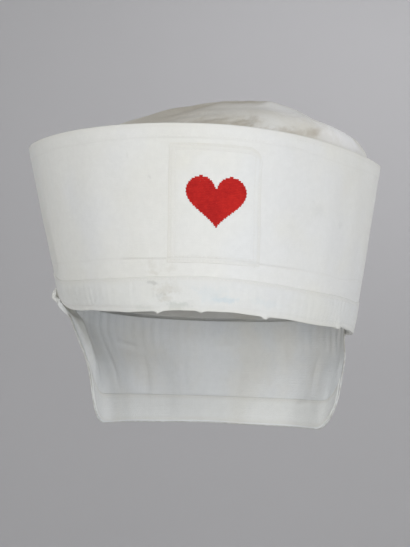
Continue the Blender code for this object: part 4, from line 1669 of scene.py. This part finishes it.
# %% Frayed threads
# Each row: angle, part of the band, length and lean in millimetres, curl.
FRAYS = (
    (252.8, 0.05, 2.2, 1.1, 0.5),
    (253.4, 0.03, 1.6, -0.7, 0.3),
    (253.8, 0.06, 2.6, 0.4, -0.6),
    (268.1, 0.03, 1.5, 0.6, 0.4),
    (268.6, 0.05, 1.1, -0.5, -0.3),
    (289.9, 0.04, 2.3, -1.0, 0.5),
    (290.3, 0.03, 1.7, 0.8, -0.4),
    (290.8, 0.06, 1.2, 0.2, 0.3),
    (327.0, 0.05, 1.8, 0.9, 0.5),
    (327.7, 0.04, 1.3, -0.6, -0.3),
    (38.0, 0.04, 1.8, 0.7, 0.4),
    (112.0, 0.05, 2.0, -0.8, -0.4),
)
fray_paths = []
steps = np.linspace(0, 1, 7)
for degrees, part, *millimetres in FRAYS:
    long, lean, curl = np.array(millimetres) / 1000
    angles = math.radians(degrees) + steps * lean / CUFF_RADIUS
    way = outward(angles) * level(0.0004 * np.sin(math.pi * steps) + curl * steps**2)
    hang = level(long * steps) * 0.55 * UP
    fray_paths.append(band_face.at(angles, part, BAND_LIFT) + way - hang)
frays = made_along(
    "frayed_threads",
    fray_paths,
    thread_group,
    Material=white_thread,
    Thickness=0.00026,
    Step=0.0003,
)

# %% [markdown]
# ## Floor, backdrop and light
#
# A plain pale floor lies far below, since the cap is worn, and it curves up into a plain
# wall all round, as in a studio's cove, so there is no edge behind the cap from any side. The
# light comes from large soft windows: one in front, one at the wearer's left, and weaker ones
# at the wearer's right, behind, and high and low in front. One more lamp shines on the wall.

# %% The stage
ROOM_RADIUS, ROOM_CORNER, FLOOR_HEIGHT, WALL_HEIGHT, SIDES = 3.3, 1.2, -1.2, 3.4, 96
studio_paint, tree, shader = new_material("studio_paint")
rolled = tree.noise(tree.node("ShaderNodeTexCoord")["Object"], 1.2, 2.0)
paint = tree.mixed(rolled, (0.51, 0.51, 0.518, 1), (0.535, 0.535, 0.547, 1))
tree.fill(shader, {"Base Color": paint, "Roughness": 0.95})

bend = np.linspace(-math.pi / 2, 0, 13)
cove = np.stack([np.cos(bend), 1 + np.sin(bend)], -1) * ROOM_CORNER
cove = cove + [ROOM_RADIUS - ROOM_CORNER, FLOOR_HEIGHT]
floor = [(reach, FLOOR_HEIGHT) for reach in (0.02, 0.7, 1.4)]
profile = [*floor, *cove, (ROOM_RADIUS, WALL_HEIGHT)]
around = np.arange(SIDES) / SIDES * math.tau
left, right = np.arange(SIDES), (np.arange(SIDES) + 1) % SIDES
rings = np.arange(len(profile) * SIDES).reshape(-1, SIDES)
room_mesh = bpy.data.meshes.new("studio_room")
room_mesh.from_pydata(
    [(r * math.cos(a), r * math.sin(a), z) for r, z in profile for a in around],
    [],
    [list(range(SIDES))] + corners(rings, left, right).reshape(-1, 4).tolist(),
)
room_mesh.materials.append(studio_paint)
room_mesh.shade_smooth()
add_object("studio_room", room_mesh)
print("room:", len(room_mesh.polygons), "faces")

# %% Light
# Each lamp: place, aim, width, power, colour.
LAMPS = {
    "front_window": ((0.0, -2.6, 0.3), (0, 0, 0.05), 2.2, 38.8, (1.0, 0.995, 0.99)),
    "left_window": ((2.6, -0.6, 0.3), (0, 0, 0.05), 1.6, 20.0, (1.0, 1.0, 1.0)),
    "right_fill": ((-2.2, -1.8, 0.3), (0, 0, 0.05), 1.6, 16.0, (1.0, 0.99, 0.94)),
    "high_left": ((0.9, -1.8, 1.6), (0, 0, 0.05), 1.3, 5.0, (1.0, 1.0, 1.0)),
    "back_window": ((0.4, 2.3, 0.45), (0, 0, 0.02), 1.6, 16.0, (1.0, 0.99, 0.98)),
    "low_fill": ((0.2, -1.6, -1.05), (0, 0, 0), 1.4, 2.0, (1.0, 1.0, 1.0)),
    "wall_lamp": ((0.5, 1.8, 1.2), (0.4, 3.3, 0.52), 1.2, 11.0, (0.98, 0.97, 1.0)),
}
for name, (place, aim, size, power, colour) in LAMPS.items():
    lamp = add_object(name, bpy.data.lights.new(name, "AREA"))
    lamp.data.shape, lamp.data.size, lamp.data.energy, lamp.data.color = "DISK", size, power, colour
    lamp.visible_camera = False
    heading = (Vector(aim) - Vector(place)).to_track_quat("-Z", "Y").to_matrix().to_4x4()
    lamp.matrix_world = Matrix.Translation(place) @ heading
world = bpy.data.worlds.new("sky")
world.use_nodes = True
sky = world.node_tree.nodes["Background"].inputs
sky["Color"].default_value = (1.0, 1.0, 0.985, 1)
sky["Strength"].default_value = 0.22
bpy.context.scene.world = world
bpy.context.scene.view_settings.view_transform = "Standard"
print("lamps:", ", ".join(LAMPS))

# %% [markdown]
# ## Joining the frame
#
# Every piece rides on the cap's one body and, where it stands for a solid, replaces it.

dressing = (
    (cuff_cloth, "cuff", "starched_linen"),
    (band_cloth, "cuff_lower_band", "starched_linen"),
    (patch_cloth, "badge_patch", "woven_patch"),
    (crown_cloth, "crown", "soft_linen"),
    (flap_cloth, "neck_flap", "soft_linen"),
    (hem_cloth, "neck_flap_hem", "soft_linen"),
    (sewing, None, "starched_linen"),
    (heart, None, "woven_patch"),
    (frays, None, "starched_linen"),
)
for piece, solid, slot in dressing:
    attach(piece, "root")
    if solid:
        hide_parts(solid)
